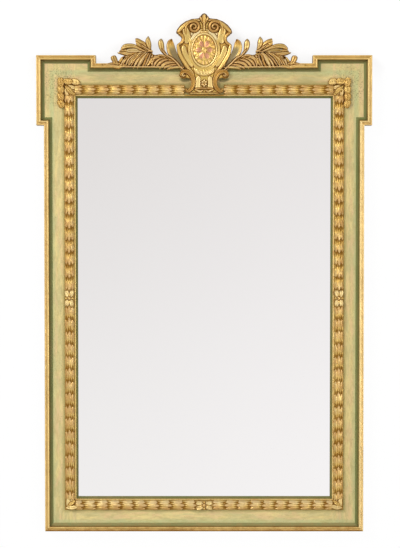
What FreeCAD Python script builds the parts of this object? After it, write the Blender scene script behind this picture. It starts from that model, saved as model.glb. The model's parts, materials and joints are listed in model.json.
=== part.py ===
import FreeCAD, Part
import math
import os
from FreeCAD import Vector

os.makedirs("parts", exist_ok=True)

# A carved and painted wall mirror with eared upper corners and a carved crest. All lengths are in millimetres.
# x runs to the right, h is the height above the frame's bottom edge and p is how far a point stands off the wall.

# Overall sizes of the frame
frame_width = 735.0
frame_height = 1078.0
ear_reach = 17.5
ear_rise = 18.5
ear_width = 136.0
ear_height = 160.0
hook_drop = 113.0

# Bands across the face, from the outer edge in to the glass
rim_width = 11.0
cove_width = 7.5
stile_frieze = 27.4
rail_frieze = 30.0
torus_width = 22.5
fillet_width = 3.5
slip_width = 4.6

# Layers from the wall to the face
backboard_thickness = 6.0
carcass_thickness = 21.0
lip_thickness = 8.0
glass_thickness = 4.0

# Rebate, glass and what holds the glass
rebate_width = 10.0
glass_clearance = 1.0
block_width = 8.0
block_length = 45.0
block_chamfer = 4.0
backboard_cover = 31.9
slip_set_back = 1.0
slip_edge = 1.6

# Mortise and tenon joints of the carcass
tenon_thickness = 7.0
tenon_length = 45.0
tenon_inset = 8.0
peg_radius = 3.2
peg_sides = 8
peg_depth = 17.0
peg_set_in = 13.0

# Gilt rim moulding and its green cove, as heights above the frieze
edge_fillet_width = 2.6
edge_fillet_rise = 9.0
edge_groove_width = 2.6
edge_groove_rise = 6.4
bead_rise = 12.0
quirk_depth = 1.6
cove_foot = 0.6
cove_sag_shares = (0.36, 0.36)

# Laurel moulding, as heights above the frieze
torus_kick = 0.5
torus_rise = 9.0
fillet_rise = 1.6
bundle_pitch = 28.8
lobe_depth = 3.2
lobe_edge_recede = 2.4
bundle_step = 0.9
bundle_under_share = 0.82
bundle_groove_share = 0.9
bundle_columns = 6
seat_length = 40.0
seat_rise = 4.5

# Flower rosettes on the laurel
rosette_radius = 11.0
rosette_rise = 6.0
rosette_petals = 5
button_radius = 3.6

# Leaf rows that turn the upper corners outside the laurel
corner_row_width = 14.7
corner_row_rise = 7.0
corner_row_across = 51.7
corner_row_down = 67.5
corner_leaf_pitch = 17.0
corner_leaf_recede = 4.0
corner_leaf_columns = 4

# Carved crest
crest_rise = 114.5
crest_drop = 70.5
cartouche_half_width = 64.5
cartouche_body = 7.0
scroll_sink = 2.0
boss_half_width = 30.5
boss_half_height = 40.5
boss_height = 30.0
boss_rim = 4.6
boss_rim_rise = 4.2
boss_crown_rise = 8.0
laurel_stop = 45.0
spray_tuck = 2.5
spray_gap = 27.0
spray_foot_gap = 48.0
spray_height = 62.0
spray_back = 16.0
spray_body = 15.0
spray_leaf_half = 7.0
spray_leaf_rise = 9.0
band_half = 3.0
band_rise = 5.0
finial_half = 3.3
finial_rise = 6.0
volute_radius = 12.2
volute_eye = 3.2

# Batten behind the crest, and headless square cut nails
brace_width = 44.0
brace_foot = 38.0
brace_rise = 87.0
brace_chamfer = 6.0
nail_width = 2.6
nail_length = 17.0
nail_set_in = 11.0

# Strap hangers with loose rings
hanger_set_in = 22.0
strap_width = 14.0
strap_thickness = 1.2
strap_length = 38.0
strap_round = 3.0
barrel_radius = 2.85
ring_wire = 3.2
ring_thickness = 3.4
ring_play = 0.05
ring_half_span = 11.0
ring_corner = 3.0
ring_crown_sides = 10
ring_drop = 26.0
ring_wall_gap = 0.3
hanger_screw_places = (12.0, 32.0)
screw_head_radius = 3.5
screw_head_rise = 1.8
screw_head_sides = 12
screw_radius = 1.6
screw_sides = 8
screw_length = 14.0

# Small values that serve every cut and seam
overrun = 2.0
seam = 0.001

# Levels worked out from the layers
carcass_back = backboard_thickness
frieze = carcass_back + carcass_thickness
lip_back = frieze - lip_thickness
glass_back = lip_back - glass_thickness

# Lines worked out from the bands
moulding_width = rim_width + cove_width
laurel_width = torus_width + fillet_width
stile_width = moulding_width + stile_frieze + laurel_width
rail_width = moulding_width + rail_frieze + laurel_width
half_width = frame_width / 2
hook_height = frame_height - hook_drop
ear_x = half_width + ear_reach
ear_top = frame_height + ear_rise
ear_foot = ear_top - ear_height
ear_end = ear_x - ear_width
stile_edge = half_width - stile_width
rebate_edge = stile_edge + rebate_width
laurel_x = half_width - moulding_width - stile_frieze
laurel_low = moulding_width + rail_frieze
laurel_high = frame_height - laurel_low
spray_root = cartouche_half_width - spray_tuck
spray_reach = ear_end - spray_gap - spray_root
spray_foot = ear_end - spray_foot_gap
deepest = frieze + boss_crown_rise + cartouche_body + bead_rise


def at(x, h, p):
    """A point of the object from its place across, its height and its distance off the wall."""
    return Vector(x, -p, h - hook_height)


def slab(x0, x1, h0, h1, p0, p1):
    """A square block between two corners."""
    return Part.makeBox(x1 - x0, p1 - p0, h1 - h0, at(x0, h0, p1))


def prism(points, p0, p1):
    """A block whose front outline has straight sides."""
    corners = [at(x, h, p0) for x, h in points]
    return Part.Face(Part.makePolygon(corners + corners[:1])).extrude(Vector(0, p0 - p1, 0))


def closed_face(steps, place):
    """A flat face. A step is a corner, or a pair of points that an arc passes through and ends at."""
    edges = []
    last = steps[0]
    for step in steps[1:] + steps[:1]:
        if isinstance(step[0], tuple):
            edges.append(Part.Arc(place(*last), place(*step[0]), place(*step[1])).toShape())
            last = step[1]
        elif step != last:
            edges.append(Part.LineSegment(place(*last), place(*step)).toShape())
            last = step
    return Part.Face(Part.Wire(edges))


def tidy(shape):
    """The shape with its split faces joined, as a bare solid where it is only one."""
    whole = shape.removeSplitter()
    return whole.Solids[0] if len(whole.Solids) == 1 else whole


def mirrored(shape):
    """The same piece on the other side of the middle line."""
    return shape.mirror(Vector(0, 0, 0), Vector(1, 0, 0))


def on_side(shape, side):
    """A piece that is drawn on the right, or its mirror image for the left."""
    return shape if side == "right" else mirrored(shape)


def drilled(piece, tools):
    """A piece with the room for others cut out of it."""
    for tool in tools:
        piece = piece.cut(tool)
    return piece


def joined(pieces):
    """Several overlapping or touching pieces as one."""
    return tidy(pieces[0].multiFuse(pieces[1:]))


def skin_solid(rows, back):
    """A carved solid from rows of surface points given as x, h and p, closed by walls and a flat back."""
    count = len(rows[0])
    points = [at(*point) for row in rows for point in row]
    rear = len(points)
    for row in rows:
        points.append(at(row[0][0], row[0][1], back))
        points.append(at(row[-1][0], row[-1][1], back))
    faces = []

    def quad(a, b, c, d):
        faces.append((a, b, c))
        faces.append((a, c, d))

    for number in range(len(rows) - 1):
        here = number * count
        ahead = here + count
        wall = rear + 2 * number
        for column in range(count - 1):
            quad(here + column, here + column + 1, ahead + column + 1, ahead + column)
        quad(wall, here, ahead, wall + 2)
        quad(here + count - 1, wall + 1, wall + 3, ahead + count - 1)
        quad(wall + 1, wall, wall + 2, wall + 3)
    last = (len(rows) - 1) * count
    first_ring = [rear] + list(range(count)) + [rear + 1]
    last_ring = [len(points) - 2] + list(range(last, last + count)) + [len(points) - 1]
    for spot in range(1, count + 1):
        faces.append((first_ring[0], first_ring[spot + 1], first_ring[spot]))
        faces.append((last_ring[0], last_ring[spot], last_ring[spot + 1]))
    return solid_from(points, faces)


def dome_solid(centre, rings, back):
    """A carved boss from a middle point and closed rings of points around it, on a flat back."""
    around = len(rings[0])
    points = [at(*centre)]
    for ring in rings:
        points.extend(at(*point) for point in ring)
    base = len(points)
    points.extend(at(x, h, back) for x, h, p in rings[-1])
    points.append(at(centre[0], centre[1], back))
    faces = []
    for spot in range(around):
        after = (spot + 1) % around
        faces.append((0, 1 + spot, 1 + after))
        for ring in range(len(rings)):
            inner = 1 + ring * around
            outer = inner + around
            faces.append((inner + spot, outer + spot, outer + after))
            faces.append((inner + spot, outer + after, inner + after))
        faces.append((len(points) - 1, base + after, base + spot))
    return solid_from(points, faces)


def solid_from(points, faces):
    """A closed solid of flat facets."""
    shell = Part.Shape()
    shell.makeShapeFromMesh((points, faces), seam)
    solid = Part.Solid(Part.Shell(shell.Faces))
    if solid.Volume < 0:
        solid.reverse()
    return tidy(solid)


def strip(start, end, inward, profile, width, turns):
    """A straight moulding on the face between two outline points, mitred at both ends.

    turns says how far each end leans along the strip over its width: 1 or -1 for a mitre, 0 for a square end.
    """
    length = math.hypot(end[0] - start[0], end[1] - start[1])
    along = ((end[0] - start[0]) / length, (end[1] - start[1]) / length)

    def place(u, p):
        x = start[0] - along[0] * width + inward[0] * u
        h = start[1] - along[1] * width + inward[1] * u
        return at(x, h, p)

    bar = closed_face(profile, place).extrude(Vector(along[0], 0, along[1]) * (length + 2 * width))
    return tidy(bar.common(mitre_fence(start, end, inward, along, width, turns)))


def mitre_fence(start, end, inward, along, width, turns):
    """The block that a strip is cut to, with its mitres."""
    corners = [start, end]
    for corner, turn in ((end, turns[1]), (start, turns[0])):
        x = corner[0] + (inward[0] + along[0] * turn) * width
        h = corner[1] + (inward[1] + along[1] * turn) * width
        corners.append((x, h))
    return prism(corners, carcass_back, deepest)


def round_corners(x, h, radius, sides):
    """The corners of a small round piece drawn with flat sides."""
    turns = [2 * math.pi * (number + 0.5) / sides for number in range(sides)]
    return [(x + radius * math.cos(turn), h + radius * math.sin(turn)) for turn in turns]


def nail(x, h):
    """A square cut brad driven from behind until it is flush."""
    half = nail_width / 2
    return slab(x - half, x + half, h - half, h + half, 0, nail_length)


def peg(x, h):
    """A split oak peg with its eight faces, driven from behind through a tenon."""
    return prism(round_corners(x, h, peg_radius, peg_sides), carcass_back, carcass_back + peg_depth)


def save(name, shape):
    """One sub-part as its own file."""
    shape.exportStep("parts/" + name + ".step")


# Carcass of two stiles and two rails

def rail_pieces(outer, inner, sign):
    """One rail with its tenons. sign is 1 for the bottom rail and -1 for the top one."""
    low, high = sorted((outer, outer + sign * rail_width))
    rear_low, rear_high = sorted((outer, outer + sign * (rail_width - rebate_width)))
    front = slab(-stile_edge, stile_edge, low, high, lip_back, frieze)
    rear = slab(-rebate_edge, rebate_edge, rear_low, rear_high, carcass_back, lip_back)
    tenon_low = rear_low + tenon_inset
    tenon_high = rear_high - tenon_inset
    tenon_end = rebate_edge + tenon_length
    tenon = slab(-tenon_end, tenon_end, tenon_low, tenon_high, lip_back - tenon_thickness, lip_back)
    return joined([front, rear, tenon]), tenon


rails = {}
tenons = []
pegs = []
for place_name, edge, direction in (("bottom", 0, 1), ("top", frame_height, -1)):
    rails[place_name], tenon_bar = rail_pieces(edge, rail_width, direction)
    tenons.append(tenon_bar)
    tenon_span = rail_width - rebate_width - 2 * tenon_inset
    for third in (1, 2):
        peg_height = edge + direction * (tenon_inset + tenon_span * third / 3)
        for x in (-rebate_edge - peg_set_in, rebate_edge + peg_set_in):
            pegs.append(peg(x, peg_height))

# Nails of the backboard and of the batten behind the crest
nail_x = rebate_edge + nail_set_in
board_x = rebate_edge - rebate_width + backboard_cover
board_low = rail_width - backboard_cover
board_high = frame_height - board_low
side_nail_shares = (0.08, 0.29, 0.5, 0.71, 0.92)
end_nail_shares = (-0.66, 0, 0.66)
backboard_nails = []
for share in side_nail_shares:
    for x in (-nail_x, nail_x):
        backboard_nails.append(nail(x, board_low + (board_high - board_low) * share))
end_nail_height = rail_width - rebate_width - nail_set_in
for h in (end_nail_height, frame_height - end_nail_height):
    for share in end_nail_shares:
        backboard_nails.append(nail(board_x * share, h))
brace_low = frame_height - brace_foot
brace_high = frame_height + brace_rise
rail_nail_share = 0.35
crest_nail_shares = (0.25, 0.72)
crest_nails = []
for x in (-brace_width / 4, brace_width / 4):
    crest_nails.append(nail(x, frame_height - brace_foot * rail_nail_share))
for share in crest_nail_shares:
    crest_nails.append(nail(0, frame_height + brace_rise * share))

# Strap hangers, drawn on the right: the ring's bar turns in the barrel at the top of the strap
hanger_x = half_width - hanger_set_in
wire_radius = ring_wire / 2
axis_p = carcass_back - barrel_radius
axis_height = hook_height - ring_drop
lean_room = carcass_back - ring_wall_gap - ring_thickness / 2 - axis_p
lean = math.degrees(math.asin(lean_room / (ring_drop + wire_radius)))


def hanger_screw(x, below):
    """A round-headed screw through the strap into the stile."""
    h = axis_height - below
    seat = carcass_back - strap_thickness
    head = prism(round_corners(x, h, screw_head_radius, screw_head_sides), seat - screw_head_rise, seat)
    shank = prism(round_corners(x, h, screw_radius, screw_sides), seat, seat + screw_length)
    return joined([head, shank])


def hanger_plate():
    """The steel strap with its rolled barrel."""
    left = hanger_x - strap_width / 2
    right = hanger_x + strap_width / 2
    foot = axis_height - strap_length
    strap = slab(left, right, foot, axis_height, carcass_back - strap_thickness, carcass_back)
    lower_corners = [edge for edge in strap.Edges
                     if abs(edge.Vertexes[0].Z - edge.Vertexes[-1].Z) < seam
                     and abs(edge.Vertexes[0].X - edge.Vertexes[-1].X) < seam
                     and edge.BoundBox.ZMax < foot - hook_height + seam]
    strap = strap.makeFillet(strap_round, lower_corners)
    barrel = Part.makeCylinder(barrel_radius, strap_width, at(left, axis_height, axis_p), Vector(1, 0, 0))
    bore_radius = wire_radius + ring_play
    bore_length = strap_width + 2 * overrun
    bore = Part.makeCylinder(bore_radius, bore_length, at(left - overrun, axis_height, axis_p), Vector(1, 0, 0))
    holes = [hanger_screw(hanger_x, below) for below in hanger_screw_places]
    return tidy(drilled(joined([strap, barrel]), [bore] + holes))


def crown(span, shoulder):
    """The corners of the ring's round end, from the right leg over to the left one."""
    corners = []
    for number in range(ring_crown_sides + 1):
        turn = math.pi * number / ring_crown_sides
        corners.append((hanger_x + span * math.cos(turn), shoulder + span * math.sin(turn)))
    return corners


def hanger_ring():
    """The D-shaped ring, stood up as it hangs on its hook and leaning back to the frame."""
    shoulder = hook_height + wire_radius - ring_half_span
    outer_span = ring_half_span + wire_radius
    inner_span = ring_half_span - wire_radius
    foot = axis_height - ring_thickness / 2
    outer = [
        (hanger_x - outer_span, foot + ring_corner),
        (hanger_x - outer_span + ring_corner, foot),
        (hanger_x + outer_span - ring_corner, foot),
        (hanger_x + outer_span, foot + ring_corner),
    ]
    inner = [(hanger_x - inner_span, foot - overrun), (hanger_x + inner_span, foot - overrun)]
    bend = prism(outer + crown(outer_span, shoulder), axis_p - ring_thickness / 2, axis_p + ring_thickness / 2)
    opening = prism(inner + crown(inner_span, shoulder), axis_p - ring_thickness, axis_p + ring_thickness)
    bar_start = at(hanger_x - ring_half_span, axis_height, axis_p)
    bar = Part.makeCylinder(wire_radius, 2 * ring_half_span, bar_start, Vector(1, 0, 0))
    ring = joined([bend.cut(opening), bar])
    ring.rotate(at(hanger_x, axis_height, axis_p), Vector(1, 0, 0), lean)
    return ring


hanger_screws = []
for below in hanger_screw_places:
    right_screw = hanger_screw(hanger_x, below)
    hanger_screws += [right_screw, mirrored(right_screw)]
for side in ("left", "right"):
    save("hanger_plate_" + side, on_side(hanger_plate(), side))
    save("hanger_ring_" + side, on_side(hanger_ring(), side))
save("hanger_screws", Part.makeCompound(hanger_screws))

# Stiles, rails and the blocks that make the ears
stile = slab(stile_edge, half_width, 0, ear_top, carcass_back, frieze)
rebate = slab(stile_edge - overrun, rebate_edge, -overrun, frame_height, carcass_back - overrun, lip_back)
stile = drilled(stile, [rebate] + tenons + pegs + backboard_nails + hanger_screws)
for side in ("left", "right"):
    save("stile_" + side, on_side(tidy(stile), side))
    ear_block = slab(half_width, ear_x, ear_foot, ear_top, carcass_back, frieze)
    save("ear_side_" + side, on_side(ear_block, side))
    ear_block = slab(ear_end, stile_edge, frame_height, ear_top, carcass_back, frieze)
    save("ear_top_" + side, on_side(ear_block, side))
save("rail_bottom", tidy(drilled(rails["bottom"], pegs + backboard_nails)))
save("rail_top", tidy(drilled(rails["top"], pegs + backboard_nails + crest_nails)))
save("tenon_pegs", Part.makeCompound(pegs))

# Looking glass, the blocks that wedge it and the board behind
glass_x = rebate_edge - glass_clearance
glass_low = rail_width - rebate_width + glass_clearance
glass = slab(-glass_x, glass_x, glass_low, frame_height - glass_low, glass_back, lip_back)
save("mirror_glass", glass)


def glazing_block(start, along, inward):
    """A chamfered softwood block glued in the rebate behind the glass."""
    steps = [
        (0, carcass_back),
        (0, glass_back),
        (block_width, glass_back),
        (block_width, carcass_back + block_chamfer),
        (block_width - block_chamfer, carcass_back),
    ]

    def place(u, p):
        return at(start[0] + inward[0] * u, start[1] + inward[1] * u, p)

    return closed_face(steps, place).extrude(Vector(along[0], 0, along[1]) * block_length)


block_shares = (0.12, 0.5, 0.88)
end_block_share = 0.6
blocks = []
for share in block_shares:
    foot = glass_low + (frame_height - 2 * glass_low) * share - block_length / 2
    blocks.append(glazing_block((rebate_edge, foot), (0, 1), (-1, 0)))
    blocks.append(glazing_block((-rebate_edge, foot), (0, 1), (1, 0)))
block_low = rail_width - rebate_width
for middle in (-rebate_edge * end_block_share, rebate_edge * end_block_share):
    left_end = middle - block_length / 2
    blocks.append(glazing_block((left_end, block_low), (1, 0), (0, 1)))
    blocks.append(glazing_block((left_end, frame_height - block_low), (1, 0), (0, -1)))
save("glazing_blocks", Part.makeCompound(blocks))
backboard = slab(-board_x, board_x, board_low, board_high, 0, backboard_thickness)
save("backboard", tidy(drilled(backboard, backboard_nails)))
save("backboard_nails", Part.makeCompound(backboard_nails))

# Green sight slips round the glass
slip_front = frieze - slip_set_back
slip_sag_shares = (0.3, 0.4)
slip_sag = (slip_width * slip_sag_shares[0], lip_back + (slip_front - lip_back) * slip_sag_shares[1])
slip_steps = [
    (0, lip_back),
    (0, slip_front),
    (slip_sag, (slip_width, lip_back + slip_edge)),
    (slip_width, lip_back),
]
slip_low = rail_width
slip_high = frame_height - rail_width
slip_runs = {
    "slip_bottom": ((stile_edge, slip_low), (-stile_edge, slip_low), (0, 1)),
    "slip_left": ((-stile_edge, slip_low), (-stile_edge, slip_high), (1, 0)),
    "slip_top": ((-stile_edge, slip_high), (stile_edge, slip_high), (0, -1)),
    "slip_right": ((stile_edge, slip_high), (stile_edge, slip_low), (-1, 0)),
}
for name, (start, end, inward) in slip_runs.items():
    save(name, strip(start, end, inward, slip_steps, slip_width, (1, -1)))

# Gilt rim moulding with its cove, mitred round the eared outline
bead_start = edge_fillet_width + edge_groove_width
bead_radius = (rim_width - bead_start) / 2
bead_spring = frieze + bead_rise - bead_radius
quirk = bead_spring - quirk_depth
cove_sag = (rim_width + cove_width * cove_sag_shares[0], frieze + (quirk - frieze) * cove_sag_shares[1])
rim_steps = [
    (0, frieze),
    (0, frieze + edge_fillet_rise),
    (edge_fillet_width, frieze + edge_fillet_rise),
    (edge_fillet_width, frieze + edge_groove_rise),
    (bead_start, frieze + edge_groove_rise),
    (bead_start, bead_spring),
    ((bead_start + bead_radius, frieze + bead_rise), (rim_width, bead_spring)),
    (rim_width, quirk),
    (cove_sag, (moulding_width, frieze + cove_foot)),
    (moulding_width, frieze),
]
cartouche_outline_shares = [
    (0, -1),
    (0.53, -1),
    ((0.62, -0.92), (0.51, -0.84)),
    ((0.446, -0.68), (0.60, -0.493)),
    ((0.80, -0.485), (0.865, -0.36)),
    ((0.765, -0.25), (0.60, -0.222)),
    ((0.895, 0.06), (0.99, 0.333)),
    ((0.80, 0.49), (1, 0.61)),
    ((0.82, 0.775), (0.43, 0.889)),
    (0.19, 0.895),
    ((0.12, 0.92), (0.08, 0.96)),
    ((0.045, 0.99), (0, 1)),
]


def crest_point(x_share, h_share):
    """A point of the cartouche from its shares: up from the frame's top edge, or down from it."""
    reach = crest_rise if h_share > 0 else crest_drop
    return cartouche_half_width * x_share, frame_height + reach * h_share


def cartouche_block(p0, p1):
    """The cartouche's whole outline as a block between two distances off the wall."""
    def place(x_share, h_share):
        x, h = crest_point(x_share, h_share)
        return at(x, h, p0)

    half = closed_face(cartouche_outline_shares, place).extrude(Vector(0, p0 - p1, 0))
    return joined([half, mirrored(half)])


cope = cartouche_block(-overrun, deepest)
rim_outline = [
    ("rim_side", (half_width, 0), (half_width, ear_foot), (-1, 0), (1, 1)),
    ("rim_ear_under", (half_width, ear_foot), (ear_x, ear_foot), (0, 1), (-1, -1)),
    ("rim_ear_side", (ear_x, ear_foot), (ear_x, ear_top), (-1, 0), (1, -1)),
    ("rim_ear_top", (ear_x, ear_top), (ear_end, ear_top), (0, -1), (1, -1)),
    ("rim_ear_inner", (ear_end, ear_top), (ear_end, frame_height), (1, 0), (1, 1)),
    ("rim_top", (ear_end, frame_height), (0, frame_height), (0, -1), (-1, 0)),
]
pared = slab(-spray_foot, spray_foot, frame_height - rim_width, frame_height + overrun, frieze, deepest)
for name, start, end, inward, turns in rim_outline:
    rim = strip(start, end, inward, rim_steps, moulding_width, turns)
    if name == "rim_top":
        rim = tidy(drilled(rim, [pared, cope]))
    for side in ("left", "right"):
        save(name + "_" + side, on_side(rim, side))
save("rim_bottom", strip((half_width, 0), (-half_width, 0), (0, 1), rim_steps, moulding_width, (1, -1)))

# Carved laurel moulding: bundles of three lobed leaves, each overlapping the next


def torus_row(s, height_share, groove_share, scallop, limit):
    """One row across the laurel as pairs of run and level, with its run drawn back between the lobes."""
    row = []
    for column in range(bundle_columns + 1):
        across = -1 + 2 * column / bundle_columns
        lobe = abs(math.cos(1.5 * math.pi * across))
        turn = math.pi * column / bundle_columns
        u = torus_width / 2 * (1 - math.cos(turn))
        level = (groove_share + (1 - groove_share) * lobe) * height_share * torus_rise * math.sin(turn)
        back = scallop * (lobe_depth * (1 - lobe) + lobe_edge_recede * across * across)
        row.append((s - back, u, frieze + torus_kick + min(level, limit)))
    run = row[-1][0]
    row.append((run, torus_width, frieze + fillet_rise))
    row.append((run, laurel_width, frieze + fillet_rise))
    return row


def bundle_rows(run):
    """The rows of one run of bundles, from a corner to where the run stops."""
    count = max(1, round(run / bundle_pitch))
    pitch = run / count
    rows = [torus_row(-overrun, bundle_under_share, bundle_groove_share, 0, torus_rise)]
    for number in range(1, count + 1):
        tip = number * pitch
        rows.append(torus_row(tip - bundle_step, 1, bundle_groove_share, 1, torus_rise))
        scallop = 1 if number < count else 0
        rows.append(torus_row(tip, bundle_under_share, bundle_groove_share, scallop, torus_rise))
    return rows


def laurel_strip(start, along, inward, width, rows):
    """A carved strip whose rows lie along one line of the face."""
    placed = []
    for row in rows:
        placed.append([(start[0] + along[0] * s + inward[0] * u, start[1] + along[1] * s + inward[1] * u, p)
                       for s, u, p in row])
    return skin_solid(placed, frieze)


def seated_strip(start, end, inward):
    """A strip with two runs that meet at a plain seat, mitred at both ends."""
    length = math.hypot(end[0] - start[0], end[1] - start[1])
    along = ((end[0] - start[0]) / length, (end[1] - start[1]) / length)
    run = (length - seat_length) / 2
    rows = bundle_rows(run)
    seat = [torus_row(s, 1, 1, 0, seat_rise) for s in (run + bundle_step, length - run - bundle_step)]
    back_rows = [[(length - s, u, p) for s, u, p in row] for row in reversed(rows)]
    body = laurel_strip(start, along, inward, laurel_width, rows + seat + back_rows)
    return tidy(body.common(mitre_fence(start, end, inward, along, laurel_width, (1, -1))))


def stopped_strip():
    """The right half of the upper strip, whose leaves stop at the cartouche while its fillet runs on."""
    start = (laurel_x, laurel_high)
    end = (laurel_stop, laurel_high)
    body = laurel_strip(start, (-1, 0), (0, -1), laurel_width, bundle_rows(laurel_x - laurel_stop))
    body = body.common(mitre_fence(start, end, (0, -1), (-1, 0), laurel_width, (1, 0)))
    fillet_low = laurel_high - laurel_width
    fillet = slab(0, laurel_stop, fillet_low, fillet_low + fillet_width, frieze, frieze + fillet_rise)
    return joined([body, fillet])


save("laurel_bottom", seated_strip((laurel_x, laurel_low), (-laurel_x, laurel_low), (0, 1)))
for side in ("left", "right"):
    side_strip = seated_strip((laurel_x, laurel_high), (laurel_x, laurel_low), (-1, 0))
    save("laurel_" + side, on_side(side_strip, side))
    save("laurel_top_" + side, on_side(stopped_strip(), side))


rosette_ring_shares = (
    (button_radius / rosette_radius, 1, 0), (0.42, 0.45, 0.04), (0.72, 0.8, 0.1), (1, 0.25, 0.14),
)
button_rise_share = 1.15
spots_per_petal = 4


def rosette(x, h):
    """A five-petalled flower with a round button, on the plain seat of the laurel."""
    seat = frieze + torus_kick + seat_rise
    spots = spots_per_petal * rosette_petals
    rings = []
    for reach, rise, wave in rosette_ring_shares:
        ring = []
        for spot in range(spots):
            turn = 2 * math.pi * spot / spots
            petal = math.cos(rosette_petals * turn)
            r = rosette_radius * reach * (1 - wave + wave * petal)
            ring.append((x + r * math.sin(turn), h + r * math.cos(turn), seat + rosette_rise * rise))
        rings.append(ring)
    return dome_solid((x, h, seat + rosette_rise * button_rise_share), rings, seat)


rosette_x = laurel_x - torus_width / 2
middle_height = (laurel_low + laurel_high) / 2
save("rosette_bottom", rosette(0, laurel_low + torus_width / 2))
for side in ("left", "right"):
    save("rosette_" + side, on_side(rosette(rosette_x, middle_height), side))


corner_slant_share = 0.8


def leaf_row(s, height_share, recede, taper):
    """One row across the narrow corner leaves."""
    row = []
    for column in range(corner_leaf_columns + 1):
        across = -1 + 2 * column / corner_leaf_columns
        turn = math.pi * column / corner_leaf_columns
        u = corner_row_width / 2 * (1 - math.cos(turn))
        back = recede * across * across + taper * (1 - u / corner_row_width)
        level = height_share * corner_row_rise * math.sin(turn)
        row.append((s - back, u, frieze + torus_kick + level))
    return row


def corner_leg(start, along, inward, length):
    """One leg of the corner leaves, mitred at the corner and cut back on a slant at its far end."""
    count = max(2, round(length / corner_leaf_pitch))
    pitch = length / count
    rows = [leaf_row(-overrun, bundle_under_share, 0, 0)]
    for number in range(1, count + 1):
        taper = corner_row_width * corner_slant_share if number == count else 0
        rows.append(leaf_row(number * pitch - bundle_step, 1, corner_leaf_recede, taper))
        if number < count:
            rows.append(leaf_row(number * pitch, bundle_under_share, corner_leaf_recede, 0))
    leg = laurel_strip(start, along, inward, corner_row_width, rows)
    end = (start[0] + along[0] * length, start[1] + along[1] * length)
    return leg.common(mitre_fence(start, end, inward, along, corner_row_width, (1, 0)))


corner_x = laurel_x + corner_row_width
corner_high = laurel_high + corner_row_width
across_leg = corner_leg((corner_x, corner_high), (-1, 0), (0, -1), corner_row_across)
down_leg = corner_leg((corner_x, corner_high), (0, -1), (-1, 0), corner_row_down)
corner_leaves = joined([across_leg, down_leg])
for side in ("left", "right"):
    save("corner_leaves_" + side, on_side(corner_leaves, side))

# Crest: a scrolled cartouche with an oval boss, between two sprays of acanthus
band_section_shares = ((-1, 0.25), (-0.45, 1), (0.45, 1), (1, 0.25))
leaf_section_shares = ((-1, 0.55), (0, 1), (1, 0.4))
rib_section_shares = ((-1, 0.3), (0, 1), (1, 0.3))


def ribbon(path, section, base, back):
    """A carved band or leaf. The path gives x, h, half-width and rise above base at each station."""
    rows = []
    for number, (x, h, half, rise) in enumerate(path):
        before = path[max(number - 1, 0)]
        after = path[min(number + 1, len(path) - 1)]
        length = math.hypot(after[0] - before[0], after[1] - before[1])
        side = ((before[1] - after[1]) / length, (after[0] - before[0]) / length)
        rows.append([(x + side[0] * half * across, h + side[1] * half * across, base + rise * level)
                     for across, level in section])
    return skin_solid(rows, back)


def crest_band(shares, half, rise):
    """A scroll band of the cartouche through points given as shares of its size."""
    path = []
    for x_share, h_share, width_share in shares:
        x, h = crest_point(x_share, h_share)
        path.append((x, h, half * width_share, rise))
    return ribbon(path, band_section_shares, body_front, body_front - scroll_sink)


# The volutes start at the top of the shoulder and wind in by this many degrees
volute_place_shares = (0.364, 0.725)
volute_stations = 13
volute_start = 100
volute_sweep = 450
volute_narrow_share = 0.35
volute_lift_share = 0.3


def volute():
    """The curled end of the right shoulder, winding in to its eye and rising to the middle."""
    x0, h0 = crest_point(*volute_place_shares)
    path = []
    for number in range(volute_stations):
        share = number / (volute_stations - 1)
        turn = math.radians(volute_start - volute_sweep * share)
        r = volute_radius + (volute_eye - volute_radius) * share
        half = band_half * (1 - volute_narrow_share * share)
        rise = band_rise * (1 + volute_lift_share * share)
        path.append((x0 + r * math.cos(turn), h0 + r * math.sin(turn), half, rise))
    return ribbon(path, band_section_shares, body_front, body_front - scroll_sink)


body_front = frieze + cartouche_body
shoulder_shares = (
    (0.37, 0.832, 1), (0.55, 0.815, 1.15), (0.72, 0.755, 1.2), (0.86, 0.67, 1.1), (0.93, 0.62, 0.6),
)
side_shares = (
    (0.87, 0.42, 0.6), (0.92, 0.345, 1), (0.91, 0.22, 1.1), (0.82, 0.085, 1.2), (0.68, -0.06, 1.2),
    (0.51, -0.235, 1.2), (0.385, -0.42, 1.2), (0.35, -0.62, 1.1), (0.39, -0.8, 1), (0.50, -0.915, 0.8),
)
lower_shares = (
    (0.52, -0.30, 0.9), (0.66, -0.295, 1.1), (0.785, -0.36, 1.2), (0.73, -0.43, 0.9), (0.66, -0.405, 0.6),
)
finial_shares = ((0, 0.655, 0.7), (0, 0.76, 0.8), (0, 0.87, 1.4), (0, 0.93, 1.5), (0, 0.985, 0.5))
foot_shares = ((0.02, -0.93, 0.9), (0.2, -0.9, 1), (0.36, -0.93, 0.7))
core = cartouche_block(carcass_back, body_front)
over_frame = slab(-half_width, half_width, 0, frame_height, 0, frieze)
core = core.cut(over_frame)
bands = [volute()]
for shares in (shoulder_shares, side_shares, lower_shares, foot_shares):
    bands.append(crest_band(shares, band_half, band_rise))
finial = crest_band(finial_shares, finial_half, finial_rise)
cartouche = joined([core] + bands + [mirrored(band) for band in bands] + [finial])
save("cartouche", tidy(drilled(cartouche.common(cope), crest_nails)))

boss_spots = 28
field_share = 1 - boss_rim / boss_half_width
boss_step_share = 0.06
boss_ring_shares = (
    (0.5, 0.92, 1),
    (field_share - boss_step_share, 0.45, 1),
    (field_share, 0.3, 1),
    (field_share + boss_step_share, 1, 0),
    (1, 0.35, 0),
)


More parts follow.
